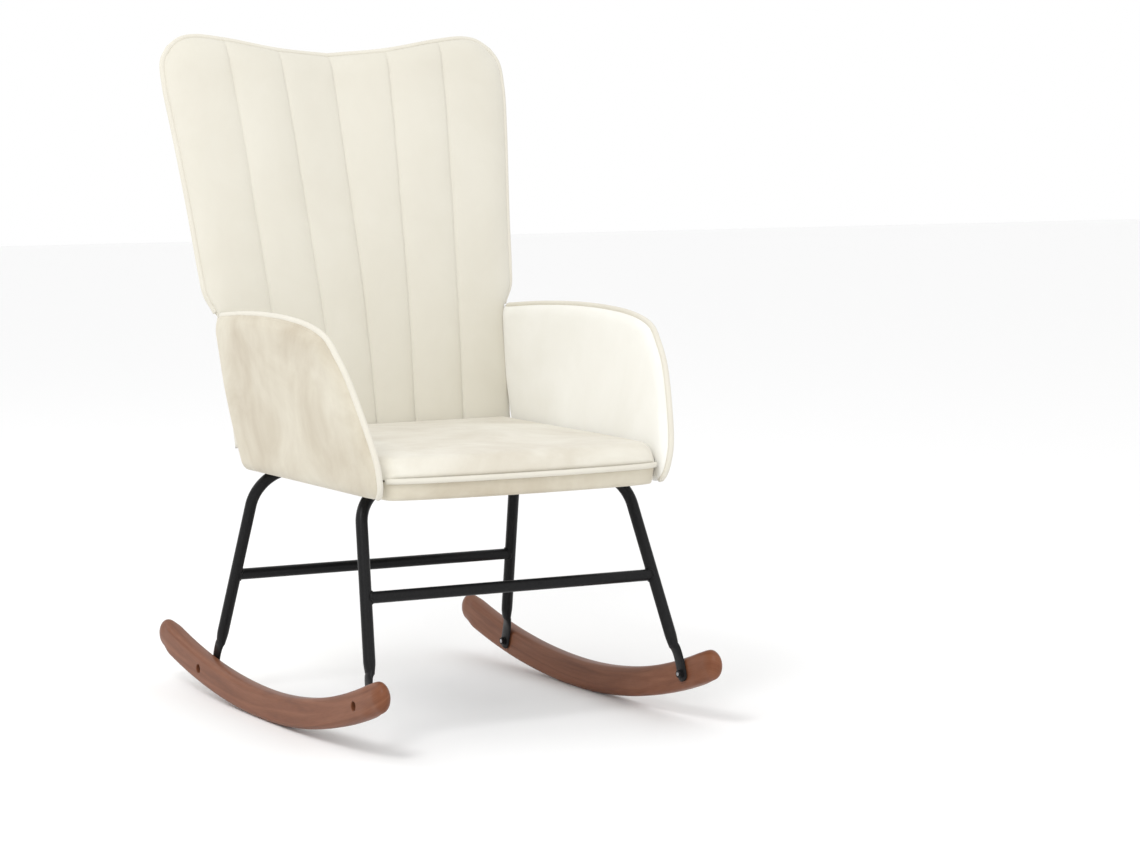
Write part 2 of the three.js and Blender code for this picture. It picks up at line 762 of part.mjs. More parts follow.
function bracketScrews(x, grown = 0) {
  const footZ = SEAT.boardLowZ - GAP - BRACKET.thick - GAP - BRACKET_SCREW.headHigh;
  const footY = bracketFaceY(footZ) - 24;
  const uprightZ = 355;
  const uprightY = bracketFaceY(uprightZ) - BRACKET.thick - GAP - BRACKET_SCREW.headHigh - 0.4;
  return {
    foot: screw(new THREE.Vector3(x, footY, footZ), UP, BRACKET_SCREW, grown),
    upright: screw(new THREE.Vector3(x, uprightY, uprightZ), REARWARD, BRACKET_SCREW, grown),
  };
}

// ---------------------------------------------------------------- assembly

const SIDES = { left: 1, right: -1 }; // the sitter's left is +X
const bracketXs = [BRACKET.x, -BRACKET.x];
const bracketScrewClearances = bracketXs.flatMap((x) => Object.values(bracketScrews(x, 0.2)));
const hoopScrewClearances = Object.values(FRAMES).flatMap((frame) =>
  [1, -1].map((side) => hoopScrew(frame, side * HOOP_SCREW_X, GAP)),
);
const mirrorX = (geometry) => {
  const copy = geometry.clone().scale(-1, 1, 1);
  return turnedInsideOut(copy);
};

// Turns every triangle round, which a mirrored geometry needs.
function turnedInsideOut(geometry) {
  const loose = geometry.index ? geometry.toNonIndexed() : geometry;
  const position = loose.getAttribute("position").array;
  for (let i = 0; i < position.length; i += 9) {
    for (let k = 0; k < 3; k++) {
      [position[i + k], position[i + 3 + k]] = [position[i + 3 + k], position[i + k]];
    }
  }
  return loose;
}
const armScrewClearances = ARM.boltY.flatMap((y) => [armScrew(y, GAP), mirrorX(armScrew(y, GAP))]);

for (const [side, sign] of Object.entries(SIDES)) {
  const half = new THREE.Group();
  half.scale.x = sign;
  chair.add(half);

  addTo(half, `rocker_${side}`, rockerGeometry(), STAINED_WOOD);
  for (const [end, frame] of Object.entries(FRAMES)) {
    const floorX = rockerOuterX - COUNTERBORE.deep + ROCKER_SCREW.headHigh + GAP;
    const start = new THREE.Vector3(floorX, frame.boltY, rockerMiddle(frame.boltY));
    addTo(half, `rocker_bolt_${end}_${side}`, screw(start, INWARD, ROCKER_SCREW), ZINC);
    addTo(half, `rocker_nut_${end}_${side}`, nutGeometry(frame.boltY), ZINC);
  }

  const arm = armLayers();
  addTo(half, `arm_board_${side}`, arm.board, PLYWOOD);
  addTo(half, `arm_inner_pad_${side}`, arm.inner, VELVET);
  addTo(half, `arm_outer_pad_${side}`, arm.outer, VELVET);
  addTo(half, `arm_welt_${side}`, armWelt(), WELT_CLOTH);
  ARM.boltY.forEach((y, i) => {
    addTo(half, `arm_screw_${["front", "rear"][i]}_${side}`, armScrew(y), ZINC);
  });

  const { foot, upright } = bracketScrews(BRACKET.x);
  const bracketHoles = Object.values(bracketScrews(BRACKET.x, 0.2));
  addTo(half, `back_bracket_${side}`, cut(bracketGeometry(BRACKET.x), bracketHoles), ZINC);
  addTo(half, `bracket_screw_seat_${side}`, foot, ZINC);
  addTo(half, `bracket_screw_back_${side}`, upright, ZINC);

  for (const [end, frame] of Object.entries(FRAMES)) {
    addTo(half, `frame_screw_${end}_${side}`, hoopScrew(frame, HOOP_SCREW_X), ZINC);
  }
}

for (const [end, frame] of Object.entries(FRAMES)) {
  addTo(chair, `leg_hoop_${end}`, hoopGeometry(frame), BLACK_TUBE);
  addTo(chair, `leg_stretcher_${end}`, stretcherGeometry(frame), BLACK_TUBE);
}

const bracketClearances = bracketXs.map((x) => bracketGeometry(x, GAP));
const cushionCutters = [
  seatBoard(GAP),
  seatLayer(SEAT.bottomZ - 5, SEAT.boardLowZ, SEAT.apronInset),
  ...Object.values(FRAMES).map((frame) => hoopTube(frame, 1.5)),
  ...bracketClearances,
  ...bracketScrewClearances,
  ...armScrewClearances,
];
addTo(
  chair,
  "seat_board",
  cut(seatBoard(), [...hoopScrewClearances, ...bracketScrewClearances, ...armScrewClearances]),
  PLYWOOD,
);
addTo(chair, "seat_cushion", cut(seatCushion(), cushionCutters), VELVET);
addTo(chair, "seat_welt", seatWelt(), WELT_CLOTH);
const dustCover = slab(
  seatOutline,
  [[DUST_COVER.lowZ, DUST_COVER.inset], [DUST_COVER.highZ, DUST_COVER.inset]],
  4,
  4,
  seatPlace,
);
const coverCutters = [...hoopScrewClearances, ...bracketClearances, ...bracketScrewClearances];
addTo(chair, "dust_cover", cut(dustCover, coverCutters), FELT);
addTo(chair, "seat_batten", cut(battenGeometry(), hoopScrewClearances), PLYWOOD);

const back = backLayers();
addTo(chair, "back_pad", back.pad, VELVET);
addTo(chair, "back_board", cut(back.board, bracketScrewClearances), PLYWOOD);
addTo(chair, "back_cover", back.cover, VELVET);
addTo(chair, "back_welt", backWelt(), WELT_CLOTH);

export default chair;
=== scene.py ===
import bpy, bmesh, json, math
import numpy as np
from mathutils import Matrix, Vector


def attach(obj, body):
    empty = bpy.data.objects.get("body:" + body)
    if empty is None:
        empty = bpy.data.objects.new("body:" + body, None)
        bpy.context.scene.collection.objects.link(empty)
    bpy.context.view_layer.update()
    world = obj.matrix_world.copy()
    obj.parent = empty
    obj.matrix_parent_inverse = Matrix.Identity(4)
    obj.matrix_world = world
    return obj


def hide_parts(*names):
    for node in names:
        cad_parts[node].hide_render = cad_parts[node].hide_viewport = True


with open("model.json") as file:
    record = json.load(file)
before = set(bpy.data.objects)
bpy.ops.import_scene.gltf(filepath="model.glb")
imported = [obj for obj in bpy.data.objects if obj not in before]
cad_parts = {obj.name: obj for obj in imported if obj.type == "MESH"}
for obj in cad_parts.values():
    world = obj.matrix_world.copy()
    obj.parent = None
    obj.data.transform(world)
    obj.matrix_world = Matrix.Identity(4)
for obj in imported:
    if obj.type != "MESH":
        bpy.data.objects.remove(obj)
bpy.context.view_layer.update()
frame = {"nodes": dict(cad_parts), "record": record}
print("frame loaded:", len(frame["nodes"]), "CAD nodes")

# The shapes below are worked out in millimetres, in the chair's own frame: +Z up, the sitter
# faces -Y, the sitter's left is +X. newPiece turns them into metres.

camera = {
    "azimuth": -29.332, "elevation": 5.788, "place": (-2.1898, -4.3182, 0.8973),
    "lens": 105.28, "sensor": 36.0,
}


def makeCamera():
    data = bpy.data.cameras.new("camera")
    data.lens = camera["lens"]
    data.sensor_width = camera["sensor"]
    data.sensor_fit = "HORIZONTAL"
    data.clip_start = 0.05
    data.clip_end = 60
    eye = bpy.data.objects.new("camera", data)
    bpy.context.collection.objects.link(eye)
    az = math.radians(camera["azimuth"])
    el = math.radians(camera["elevation"])
    back = Vector((math.sin(az) * math.cos(el), -math.cos(az) * math.cos(el), math.sin(el)))
    right = Vector((math.cos(az), math.sin(az), 0))
    turn = Matrix((right, back.cross(right), back)).transposed().to_4x4()
    eye.matrix_world = Matrix.Translation(camera["place"]) @ turn
    bpy.context.scene.camera = eye


lamps = {  # name: place, what it aims at, size in metres, watts
    "key": ((-2.2, -1.7, 3.2), (0.1, 0, 0.5), 1.3, 46),
    "front": ((0.6, -3.6, 1.6), (0, 0, 0.5), 1.8, 7),
    "rim": ((-1.8, 2.6, 2.4), (0, 0.1, 0.7), 1.6, 14),
}
studio = {"world": (1.0, 1.0, 1.0), "strength": 1.0, "floor": (0.95, 0.95, 0.95), "floorReach": 14}


def makeLights():
    for name, (place, aim, size, watts) in lamps.items():
        data = bpy.data.lights.new(name, "AREA")
        data.shape = "DISK"
        data.size = size
        data.energy = watts
        lamp = bpy.data.objects.new(name, data)
        bpy.context.collection.objects.link(lamp)
        turn = (Vector(aim) - Vector(place)).to_track_quat("-Z", "Y")
        lamp.matrix_world = Matrix.Translation(place) @ turn.to_matrix().to_4x4()
    world = bpy.data.worlds.new("studio")
    world.use_nodes = True
    background = world.node_tree.nodes["Background"]
    background.inputs["Color"].default_value = (*studio["world"], 1)
    background.inputs["Strength"].default_value = studio["strength"]
    bpy.context.scene.world = world
    bpy.context.scene.view_settings.view_transform = "Standard"


makeCamera()
makeLights()
print("camera and lights made")


def newPiece(name, points, faces, uv=None, smooth=True):
    # points (n, 3) in millimetres; uv (n, 2) in metres, one place for each point
    mesh = bpy.data.meshes.new(name)
    mesh.from_pydata((np.asarray(points, float) * 0.001).tolist(), [], [tuple(f) for f in faces])
    mesh.polygons.foreach_set("use_smooth", np.full(len(mesh.polygons), smooth))
    if uv is not None:
        corners = np.empty(len(mesh.loops), int)
        mesh.loops.foreach_get("vertex_index", corners)
        layer = mesh.uv_layers.new(name="UVMap")
        layer.data.foreach_set("uv", np.asarray(uv, float)[corners].ravel())
    mesh.update()
    piece = bpy.data.objects.new(name, mesh)
    bpy.context.collection.objects.link(piece)
    return piece


def gridFaces(index, wrapRows=False, wrapColumns=False):
    # quads over a (rows, columns) table of point numbers
    if wrapRows:
        index = np.vstack([index, index[:1]])
    if wrapColumns:
        index = np.hstack([index, index[:, :1]])
    corners = (index[:-1, :-1], index[:-1, 1:], index[1:, 1:], index[1:, :-1])
    return np.stack(corners, axis=-1).reshape(-1, 4)


def tidied(piece, join=0.00002):
    # doubles merged, then every face turned outwards
    work = bmesh.new()
    work.from_mesh(piece.data)
    bmesh.ops.remove_doubles(work, verts=work.verts, dist=join)
    bmesh.ops.recalc_face_normals(work, faces=work.faces)
    work.to_mesh(piece.data)
    work.free()
    piece.data.update()
    return piece


def padMesh(name, front, rear):
    # two (rows, columns, 3) sheets sewn together along their common border
    rows, columns = front.shape[:2]
    index = np.arange(rows * columns).reshape(rows, columns)
    inside = np.zeros((rows, columns), bool)
    inside[1:-1, 1:-1] = True
    rearIndex = index.copy()
    rearIndex[inside] = rows * columns + np.arange(inside.sum())
    points = np.vstack([front.reshape(-1, 3), rear[inside]])
    faces = np.vstack([gridFaces(index)[:, ::-1], gridFaces(rearIndex)])
    return tidied(newPiece(name, points, faces))


def smoothLine(points, count=400):
    # a smooth line through the points (cubic pieces, tangents from the neighbours), in even steps
    p = np.array(points, float)
    knots = np.concatenate([[0], np.cumsum(np.linalg.norm(np.diff(p, axis=0), axis=1) ** 0.5)])
    slope = np.gradient(p, knots, axis=0)
    at = np.linspace(0, knots[-1], 60 * len(p))
    i = np.clip(np.searchsorted(knots, at, side="right") - 1, 0, len(knots) - 2)
    h = (knots[i + 1] - knots[i])[:, None]
    t = (at - knots[i])[:, None] / h
    fine = (2 * t**3 - 3 * t**2 + 1) * p[i] + (t**3 - 2 * t**2 + t) * h * slope[i]
    fine += (3 * t**2 - 2 * t**3) * p[i + 1] + (t**3 - t**2) * h * slope[i + 1]
    return along(fine, np.linspace(0, 1, count))


def along(line, fraction):
    # places on a polyline at fractions of its length, for a fraction array of any shape
    run = np.concatenate([[0], np.cumsum(np.linalg.norm(np.diff(line, axis=0), axis=1))])
    want = np.asarray(fraction, float) * run[-1]
    return np.stack([np.interp(want, run, line[:, j]) for j in range(line.shape[1])], axis=-1)


def patch(low, high, start, end):
    # place(s, t) between four edge lines that share their corners: the surface ruled from low to
    # high, plus the one ruled from start to end, less the bilinear one between the corners
    def place(s, t):
        edges = along(low, s), along(high, s), along(start, t), along(end, t)
        s, t = s[..., None], t[..., None]
        ruled = (1 - t) * edges[0] + t * edges[1] + (1 - s) * edges[2] + s * edges[3]
        corners = (1 - s) * (1 - t) * low[0] + s * (1 - t) * low[-1]
        corners = corners + (1 - s) * t * high[0] + s * t * high[-1]
        return ruled - corners
    place.edges = (low, high, start, end)
    return place


def distanceTo(line, points, pieces=140):
    # least distance from each (..., 2) point to a line
    line = along(line, np.linspace(0, 1, pieces))
    a, ab = line[:-1], np.diff(line, axis=0)
    flat = points.reshape(-1, 1, 2) - a
    t = np.clip((flat * ab).sum(-1) / (ab * ab).sum(-1), 0, 1)
    return np.linalg.norm(flat - t[..., None] * ab, axis=-1).min(-1).reshape(points.shape[:-1])


def smoothStep(t):
    # from 0 to 1 as t does, level at both ends
    t = np.clip(t, 0, 1)
    return t * t * (3 - 2 * t)


def quarterRound(distance, radius):
    # 0 at an edge, rising like a quarter circle to 1 at one radius from it
    return np.sqrt(np.clip(1 - (1 - np.clip(distance / radius, 0, 1)) ** 2, 0, 1))


def rolled(place, points, radii):
    # the product of the quarter rounds from the patch's low, high, start and end edges
    rise = np.ones(points.shape[:-1])
    for line, radius in zip(place.edges, radii):
        rise = rise * quarterRound(distanceTo(line, points), radius)
    return rise


def spread(count, crowd=0.6):
    # fractions from 0 to 1, closer together near both ends
    u = np.linspace(0, 1, count)
    return (1 - crowd) * u + crowd * (0.5 - 0.5 * np.cos(np.pi * u))


def unevenness(points, scale, seed=0):
    # soft waves in space, from -1 to 1: a sum of sines in six fixed directions
    rng = np.random.default_rng(seed)
    waves = rng.normal(size=(6, points.shape[-1])) / scale
    return np.sin(points @ waves.T + rng.uniform(0, 6.28, 6)).mean(-1) * 1.6


def tube(name, path, radius, sides=20, lie=None, squash=None, closed=False):
    # a ring of the given radius carried along a path; lie is the ring's first direction at each
    # station, upwards if none is given, and squash its (first, second) radii there
    path = np.asarray(path, float)
    run = np.roll(path, -1, 0) - np.roll(path, 1, 0) if closed else np.gradient(path, axis=0)
    run /= np.linalg.norm(run, axis=1)[:, None]
    if lie is None:
        lie = np.tile([0.0, 0.0, 1.0], (len(path), 1))
    first = lie - run * (lie * run).sum(1)[:, None]
    first /= np.linalg.norm(first, axis=1)[:, None]
    second = np.cross(run, first)
    size = np.full((len(path), 2), radius, float) if squash is None else np.asarray(squash, float)
    angle = np.linspace(0, 2 * np.pi, sides, endpoint=False)
    ring = path[:, None] + first[:, None] * (np.cos(angle)[None, :, None] * size[:, None, :1])
    ring = ring + second[:, None] * (np.sin(angle)[None, :, None] * size[:, None, 1:])
    index = np.arange(len(path) * sides).reshape(len(path), sides)
    faces = [tuple(f) for f in gridFaces(index, wrapRows=closed, wrapColumns=True)]
    if not closed:
        faces += [tuple(index[0]), tuple(index[-1][::-1])]
    return tidied(newPiece(name, ring.reshape(-1, 3), faces))


def turned(name, start, direction, profile, sides=32, hexagon=()):
    # a profile of (distance along, radius) turned about a line; rows in hexagon are six-sided,
    # and their radius is the one to a corner
    direction = np.asarray(direction, float)
    across = np.cross(direction, (0, 0, 1) if abs(direction[2]) < 0.9 else (1, 0, 0))
    across /= np.linalg.norm(across)
    other = np.cross(direction, across)
    angle = np.linspace(0, 2 * np.pi, sides, endpoint=False)
    flat = np.cos(np.pi / 6) / np.cos((angle + np.pi / 6) % (np.pi / 3) - np.pi / 6)
    profile = np.asarray(profile, float)
    shape = np.ones((len(profile), sides))
    shape[list(hexagon)] = flat
    radius = profile[:, 1:] * shape
    points = np.asarray(start, float) + direction * profile[:, :1, None]
    points = points + across * (radius * np.cos(angle))[..., None]
    points = points + other * (radius * np.sin(angle))[..., None]
    index = np.arange(len(profile) * sides).reshape(len(profile), sides)
    faces = [tuple(f) for f in gridFaces(index, wrapColumns=True)]
    faces += [tuple(index[0]), tuple(index[-1][::-1])]
    return tidied(newPiece(name, points.reshape(-1, 3), faces, smooth=False))


def joined(name, pieces):
    # several closed meshes in one object
    work = bmesh.new()
    for piece in pieces:
        work.from_mesh(piece.data)
        bpy.data.objects.remove(piece)
    mesh = bpy.data.meshes.new(name)
    work.to_mesh(mesh)
    work.free()
    whole = bpy.data.objects.new(name, mesh)
    bpy.context.collection.objects.link(whole)
    return whole


def applied(piece):
    # the piece with its modifiers worked into its mesh
    bpy.context.view_layer.update()
    ready = piece.evaluated_get(bpy.context.evaluated_depsgraph_get())
    mesh = bpy.data.meshes.new_from_object(ready)
    mesh.name = piece.name
    piece.modifiers.clear()
    piece.data = mesh
    return piece


def drilled(piece, cutters):
    for cutter in cutters:
        hole = piece.modifiers.new("hole", "BOOLEAN")
        hole.object = cutter
        hole.solver = "EXACT"
        applied(piece)
        bpy.data.objects.remove(cutter)
    return piece


def softEdges(piece, degrees=35):
    # smooth shading, but for edges sharper than this
    piece.data.polygons.foreach_set("use_smooth", np.full(len(piece.data.polygons), True))
    piece.data.set_sharp_from_angle(angle=math.radians(degrees))
    return piece


inflation = {"pressure": 4.0, "frames": 14, "tension": 12.0, "bending": 1.2, "mass": 0.2, "quality": 4}


def inflated(piece, held, cap):
    # Cloth blown up from inside, with the held points pinned; a point then keeps at most cap
    # millimetres of its own movement, eased off as it nears that
    mesh = piece.data
    before = np.empty(len(mesh.vertices) * 3)
    mesh.vertices.foreach_get("co", before)
    group = piece.vertex_groups.new(name="held")
    group.add([int(i) for i in np.flatnonzero(held)], 1.0, "REPLACE")
    cloth = piece.modifiers.new("cloth", "CLOTH")
    cloth.settings.vertex_group_mass = "held"
    cloth.settings.quality = inflation["quality"]
    cloth.settings.mass = inflation["mass"]
    cloth.settings.tension_stiffness = inflation["tension"]
    cloth.settings.compression_stiffness = inflation["tension"]
    cloth.settings.bending_stiffness = inflation["bending"]
    cloth.settings.use_pressure = True
    cloth.settings.uniform_pressure_force = inflation["pressure"]
    cloth.settings.effector_weights.gravity = 0
    cloth.collision_settings.use_collision = False
    cloth.point_cache.frame_start = 1
    cloth.point_cache.frame_end = inflation["frames"]
    for step in range(1, inflation["frames"] + 1):
        bpy.context.scene.frame_set(step)
    ready = piece.evaluated_get(bpy.context.evaluated_depsgraph_get()).data
    after = np.empty(len(ready.vertices) * 3)
    ready.vertices.foreach_get("co", after)
    piece.modifiers.remove(cloth)
    bpy.context.scene.frame_set(1)
    move = (after - before).reshape(-1, 3)
    size = np.linalg.norm(move, axis=1)[:, None]
    move = move / (1 + size / (cap * 0.001))
    mesh.vertices.foreach_set("co", (before + move.ravel()))
    piece.vertex_groups.clear()
    mesh.update()
    print("inflated", piece.name, "most %.1f mm" % (np.linalg.norm(move, axis=1).max() * 1000))
    return piece


def borderHeld(piece, front):
    # which points of a sewn pad lie on the border or the rear sheet, told by their places
    keep = np.round(front[1:-1, 1:-1].reshape(-1, 3) * 0.001, 6)
    free = {tuple(p) for p in keep}
    places = np.empty(len(piece.data.vertices) * 3)
    piece.data.vertices.foreach_get("co", places)
    return np.array([tuple(p) not in free for p in np.round(places.reshape(-1, 3), 6)])


def newMaterial(name, color, roughness, **sockets):
    material = bpy.data.materials.new(name)
    material.use_nodes = True
    shader = material.node_tree.nodes["Principled BSDF"]
    shader.inputs["Base Color"].default_value = (*color, 1)
    shader.inputs["Roughness"].default_value = roughness
    for socket, value in sockets.items():
        shader.inputs[socket.replace("_", " ")].default_value = value
    return material, material.node_tree, shader


def node(tree, kind, inputs=None, **settings):
    # a node with its settings, its inputs set to values or joined to other nodes' outputs
    made = tree.nodes.new(kind)
    for key, value in settings.items():
        setattr(made, key, value)
    for key, value in (inputs or {}).items():
        if isinstance(value, bpy.types.NodeSocket):
            tree.links.new(value, made.inputs[key])
        else:
            made.inputs[key].default_value = value
    return made


def ramp(tree, factor, stops):
    made = node(tree, "ShaderNodeValToRGB", {"Fac": factor})
    elements = made.color_ramp.elements
    while len(elements) < len(stops):
        elements.new(0.5)
    for element, (place, color) in zip(elements, stops):
        element.position = place
        element.color = (*color, 1)
    return made.outputs["Color"]


def noise(tree, vector, scale, detail=3.0, roughness=0.5, distortion=0.0):
    return node(tree, "ShaderNodeTexNoise", {
        "Vector": vector, "Scale": scale, "Detail": detail, "Roughness": roughness, "Distortion": distortion,
    }).outputs["Fac"]


def stretched(tree, vector, scale):
    return node(tree, "ShaderNodeMapping", {"Vector": vector, "Scale": scale}).outputs[0]


def mixed(tree, share, one, other):
    return node(tree, "ShaderNodeMix", {0: share, 2: one, 3: other}, data_type="FLOAT").outputs[0]


def bumped(tree, shader, height, strength, distance):
    made = node(tree, "ShaderNodeBump", {"Height": height, "Strength": strength, "Distance": distance})
    tree.links.new(made.outputs[0], shader.inputs["Normal"])


velvet = {
    "streaks": (40, 40, 6), "streakShare": 0.15, "pileScale": 700.0, "pileBump": 0.06,
    "sheen": 0.35, "sheenRoughness": 0.4, "specular": 0.15, "roughness": 0.9,
}
# Each part's velvet tones are set lighter or darker for how the light falls on it: lit and shaded copies of
# one velvet, which is painted light and shade. The clouds are the nap's own mottling.
velvetTones = {  # each cloth: deep tone, light tone, size of its clouds, how sharply they part
    "velvet": ((0.66, 0.615, 0.52), (0.735, 0.70, 0.615), 6.0, 0.24),
    # painted shade: a darker copy for the arms' outer faces and the seat's front band, turned from the light
    "velvetPaintedShade": ((0.49, 0.43, 0.33), (0.65, 0.61, 0.505), 7.5, 0.17),
    # the seat's copy: stronger clouds, and tones set for how the light falls on the seat's top (painted light
    # and shade)
    "velvetSeat": ((0.60, 0.555, 0.465), (0.745, 0.72, 0.64), 6.5, 0.16),
    # painted light: a lighter copy for the arms' inner faces, turned up to the light
    "velvetPaintedLight": ((0.82, 0.81, 0.76), (0.88, 0.875, 0.84), 6.0, 0.2),
    # the back pad's copy: fainter clouds, and tones set for how the light falls on the back's front (painted
    # light and shade)
    "velvetSmooth": ((0.645, 0.615, 0.53), (0.695, 0.67, 0.59), 6.0, 0.25),
    "weltVelvet": ((0.65, 0.615, 0.53), (0.72, 0.695, 0.615), 9.0, 0.3),
}


def velvetMaterial(name):
    # the nap: soft clouds of lighter and darker pile, faint upright streaks and a fine pile, between the
    # part's deep and light tones, which carry painted light and shade
    deep, light, cloudScale, parting = velvetTones[name]
    material, tree, shader = newMaterial(
        name, light, velvet["roughness"], Sheen_Weight=velvet["sheen"],
        Sheen_Roughness=velvet["sheenRoughness"], Specular_IOR_Level=velvet["specular"])
    place = node(tree, "ShaderNodeTexCoord").outputs["Object"]
    clouds = noise(tree, place, cloudScale, detail=5, roughness=0.6, distortion=0.6)
    streaks = noise(tree, stretched(tree, place, velvet["streaks"]), 1.0, detail=4)
    both = mixed(tree, velvet["streakShare"], clouds, streaks)
    color = ramp(tree, both, [(0.5 - parting, deep), (0.5 + parting, light)])
    tree.links.new(color, shader.inputs["Base Color"])
    pile = noise(tree, place, velvet["pileScale"], detail=2)
    bumped(tree, shader, pile, velvet["pileBump"], 0.001)
    return material


wood = {
    "dark": (0.125, 0.043, 0.02), "middle": (0.183, 0.067, 0.032), "light": (0.235, 0.096, 0.05),
    "grain": (5, 75, 1), "pores": (55, 900, 1), "poreShare": 0.25, "roughness": 0.42,
    "specular": 0.18, "coat": 0.03, "coatRoughness": 0.2, "bump": 0.12,
}


def stainedWoodMaterial():
    # grain drawn out along the rocker, with short darker pores, under a thin satin lacquer
    material, tree, shader = newMaterial(
        "stainedWood", wood["middle"], wood["roughness"], Specular_IOR_Level=wood["specular"],
        Coat_Weight=wood["coat"], Coat_Roughness=wood["coatRoughness"])
    place = node(tree, "ShaderNodeUVMap").outputs["UV"]
    grain = stretched(tree, place, wood["grain"])
    grain = noise(tree, grain, 1.0, detail=6, roughness=0.55, distortion=0.8)
    pores = noise(tree, stretched(tree, place, wood["pores"]), 1.0, detail=3)
    both = mixed(tree, wood["poreShare"], grain, pores)
    color = ramp(tree, both, [(0.3, wood["dark"]), (0.5, wood["middle"]), (0.7, wood["light"])])
    tree.links.new(color, shader.inputs["Base Color"])
    bumped(tree, shader, both, wood["bump"], 0.0006)
    return material


def spottedMaterial(name, tones, scale, roughness, bump=0.0, **sockets):
    # two tones mingled by a fine noise, with a bump of the same grain
    material, tree, shader = newMaterial(name, tones[1], roughness, **sockets)
    place = node(tree, "ShaderNodeTexCoord").outputs["Object"]
    fine = noise(tree, stretched(tree, place, scale), 1.0, 3)
    tree.links.new(ramp(tree, fine, [(0.3, tones[0]), (0.7, tones[1])]), shader.inputs["Base Color"])
    if bump:
        bumped(tree, shader, fine, bump, 0.0005)
    return material


materials = {
    "velvet": velvetMaterial("velvet"),
    "welt_velvet": velvetMaterial("weltVelvet"),
    "stained_wood": stainedWoodMaterial(),
    "black_steel": spottedMaterial(
        "powderCoat", ((0.009, 0.009, 0.0095), (0.014, 0.014, 0.0145)), (420, 420, 420),
        roughness=0.3, bump=0.1, Specular_IOR_Level=0.12),
    "zinc_steel": spottedMaterial(
        "zincSteel", ((0.30, 0.30, 0.31), (0.50, 0.50, 0.51)), (300, 300, 300),
        roughness=0.38, bump=0.08, Metallic=1.0),
    "plywood": spottedMaterial(
        "plywood", ((0.42, 0.27, 0.13), (0.62, 0.45, 0.26)), (8, 90, 90), roughness=0.7, bump=0.2),
    "felt": spottedMaterial(
        "underCloth", ((0.012, 0.012, 0.013), (0.035, 0.035, 0.036)), (260, 260, 260),
        roughness=0.95, bump=0.3),
}
# copies of the velvet whose tones carry painted light and shade: a darker one for faces turned from the
# light, a lighter one for faces turned up to it, and one each for the seat's top and the back's front
shadedVelvet = velvetMaterial("velvetPaintedShade")
seatVelvet = velvetMaterial("velvetSeat")
litVelvet = velvetMaterial("velvetPaintedLight")
smoothVelvet = velvetMaterial("velvetSmooth")


def dressed(piece, slot, *nodes, fill=None, finish=None):
    # every piece rides the chair's one body, takes a finish and stands for its CAD nodes
    piece.data.materials.clear()
    piece.data.materials.append(finish or materials[slot])
    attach(piece, "root")
    if nodes:
        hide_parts(*nodes)
    return piece


def dressNodes():
    # the CAD nodes get their finish too
    slotOf = {part["node"]: part["material_slot"] for part in frame["record"]["subparts"]}
    for name, part in frame["nodes"].items():
        if len(part.material_slots) == 0:
            part.data.materials.append(materials[slotOf[name]])
        for place in part.material_slots:
            place.material = materials[slotOf[name]]


def makeFloor():
    material = spottedMaterial("floor", (studio["floor"], studio["floor"]), (3, 3, 3), 0.7)
    reach = studio["floorReach"] * 1000
    corners = [(-reach, -reach, 0), (reach, -reach, 0), (reach, reach, 0), (-reach, reach, 0)]
    floor = newPiece("floor", corners, [(0, 1, 2, 3)], smooth=False)
    floor.data.materials.append(material)


dressNodes()
makeFloor()
print("materials and floor made")


rocker = {
    "centreX": 260.2, "thick": 25.5, "high": 43.5, "halfLength": 386.5,
    "frontRadius": 1040.0, "rearRadius": 1370.0, "edgeRound": 8.0, "roundFrom": 28.0, "roundTo": 6.0,
    "boltY": (-310.0, 222.5), "boreRadius": 3.3, "holeRadius": 6.6, "holeDeep": 12.0, "holeEase": 0.8,
    "stations": 150, "endSteps": 15, "grainApart": 0.3,
}


def rockerMiddle(y):
    # height of the centre line: an arc ahead of the floor contact and a flatter one behind it
    radius = np.where(y < 0, rocker["frontRadius"], rocker["rearRadius"])
    return radius - np.sqrt((radius - rocker["high"] / 2) ** 2 - y**2)


def rockerSection():
    # the rings of a section from one flat face round the edge to the other: rho is the distance
    # from the centre line, and x the place across, from 1 to -1
    half = rocker["thick"] / 2
    edge = rocker["edgeRound"]
    rim = rocker["high"] / 2 - edge
    bend = np.linspace(0, np.pi, 13)
    x = (half - edge + edge * np.abs(np.cos(bend))) / half * np.sign(np.cos(bend) + 1e-9)
    x[6] = 0.0
    rho = np.concatenate([[0.0, rim * 0.5], rim + edge * np.sin(bend), [rim * 0.5, 0.0]])
    return rho, np.concatenate([[1, 1], x, [-1, -1]])


def rockerBores(side):
    # at each bolt: a counterbore with an eased mouth, then the bolt's own bore
    outer = rocker["centreX"] + rocker["thick"] / 2
    r, bore, ease = rocker["holeRadius"], rocker["boreRadius"], rocker["holeEase"]
    deep = 1 + rocker["holeDeep"]
    through = rocker["thick"] + 3
    profile = [(0, r + 1 + ease), (1 + ease, r), (deep, r), (deep, bore), (through, bore)]
    starts = [(side * (outer + 1), boltY, float(rockerMiddle(boltY))) for boltY in rocker["boltY"]]
    return [turned("cutter", start, (-side, 0, 0), profile, sides=40) for start in starts]


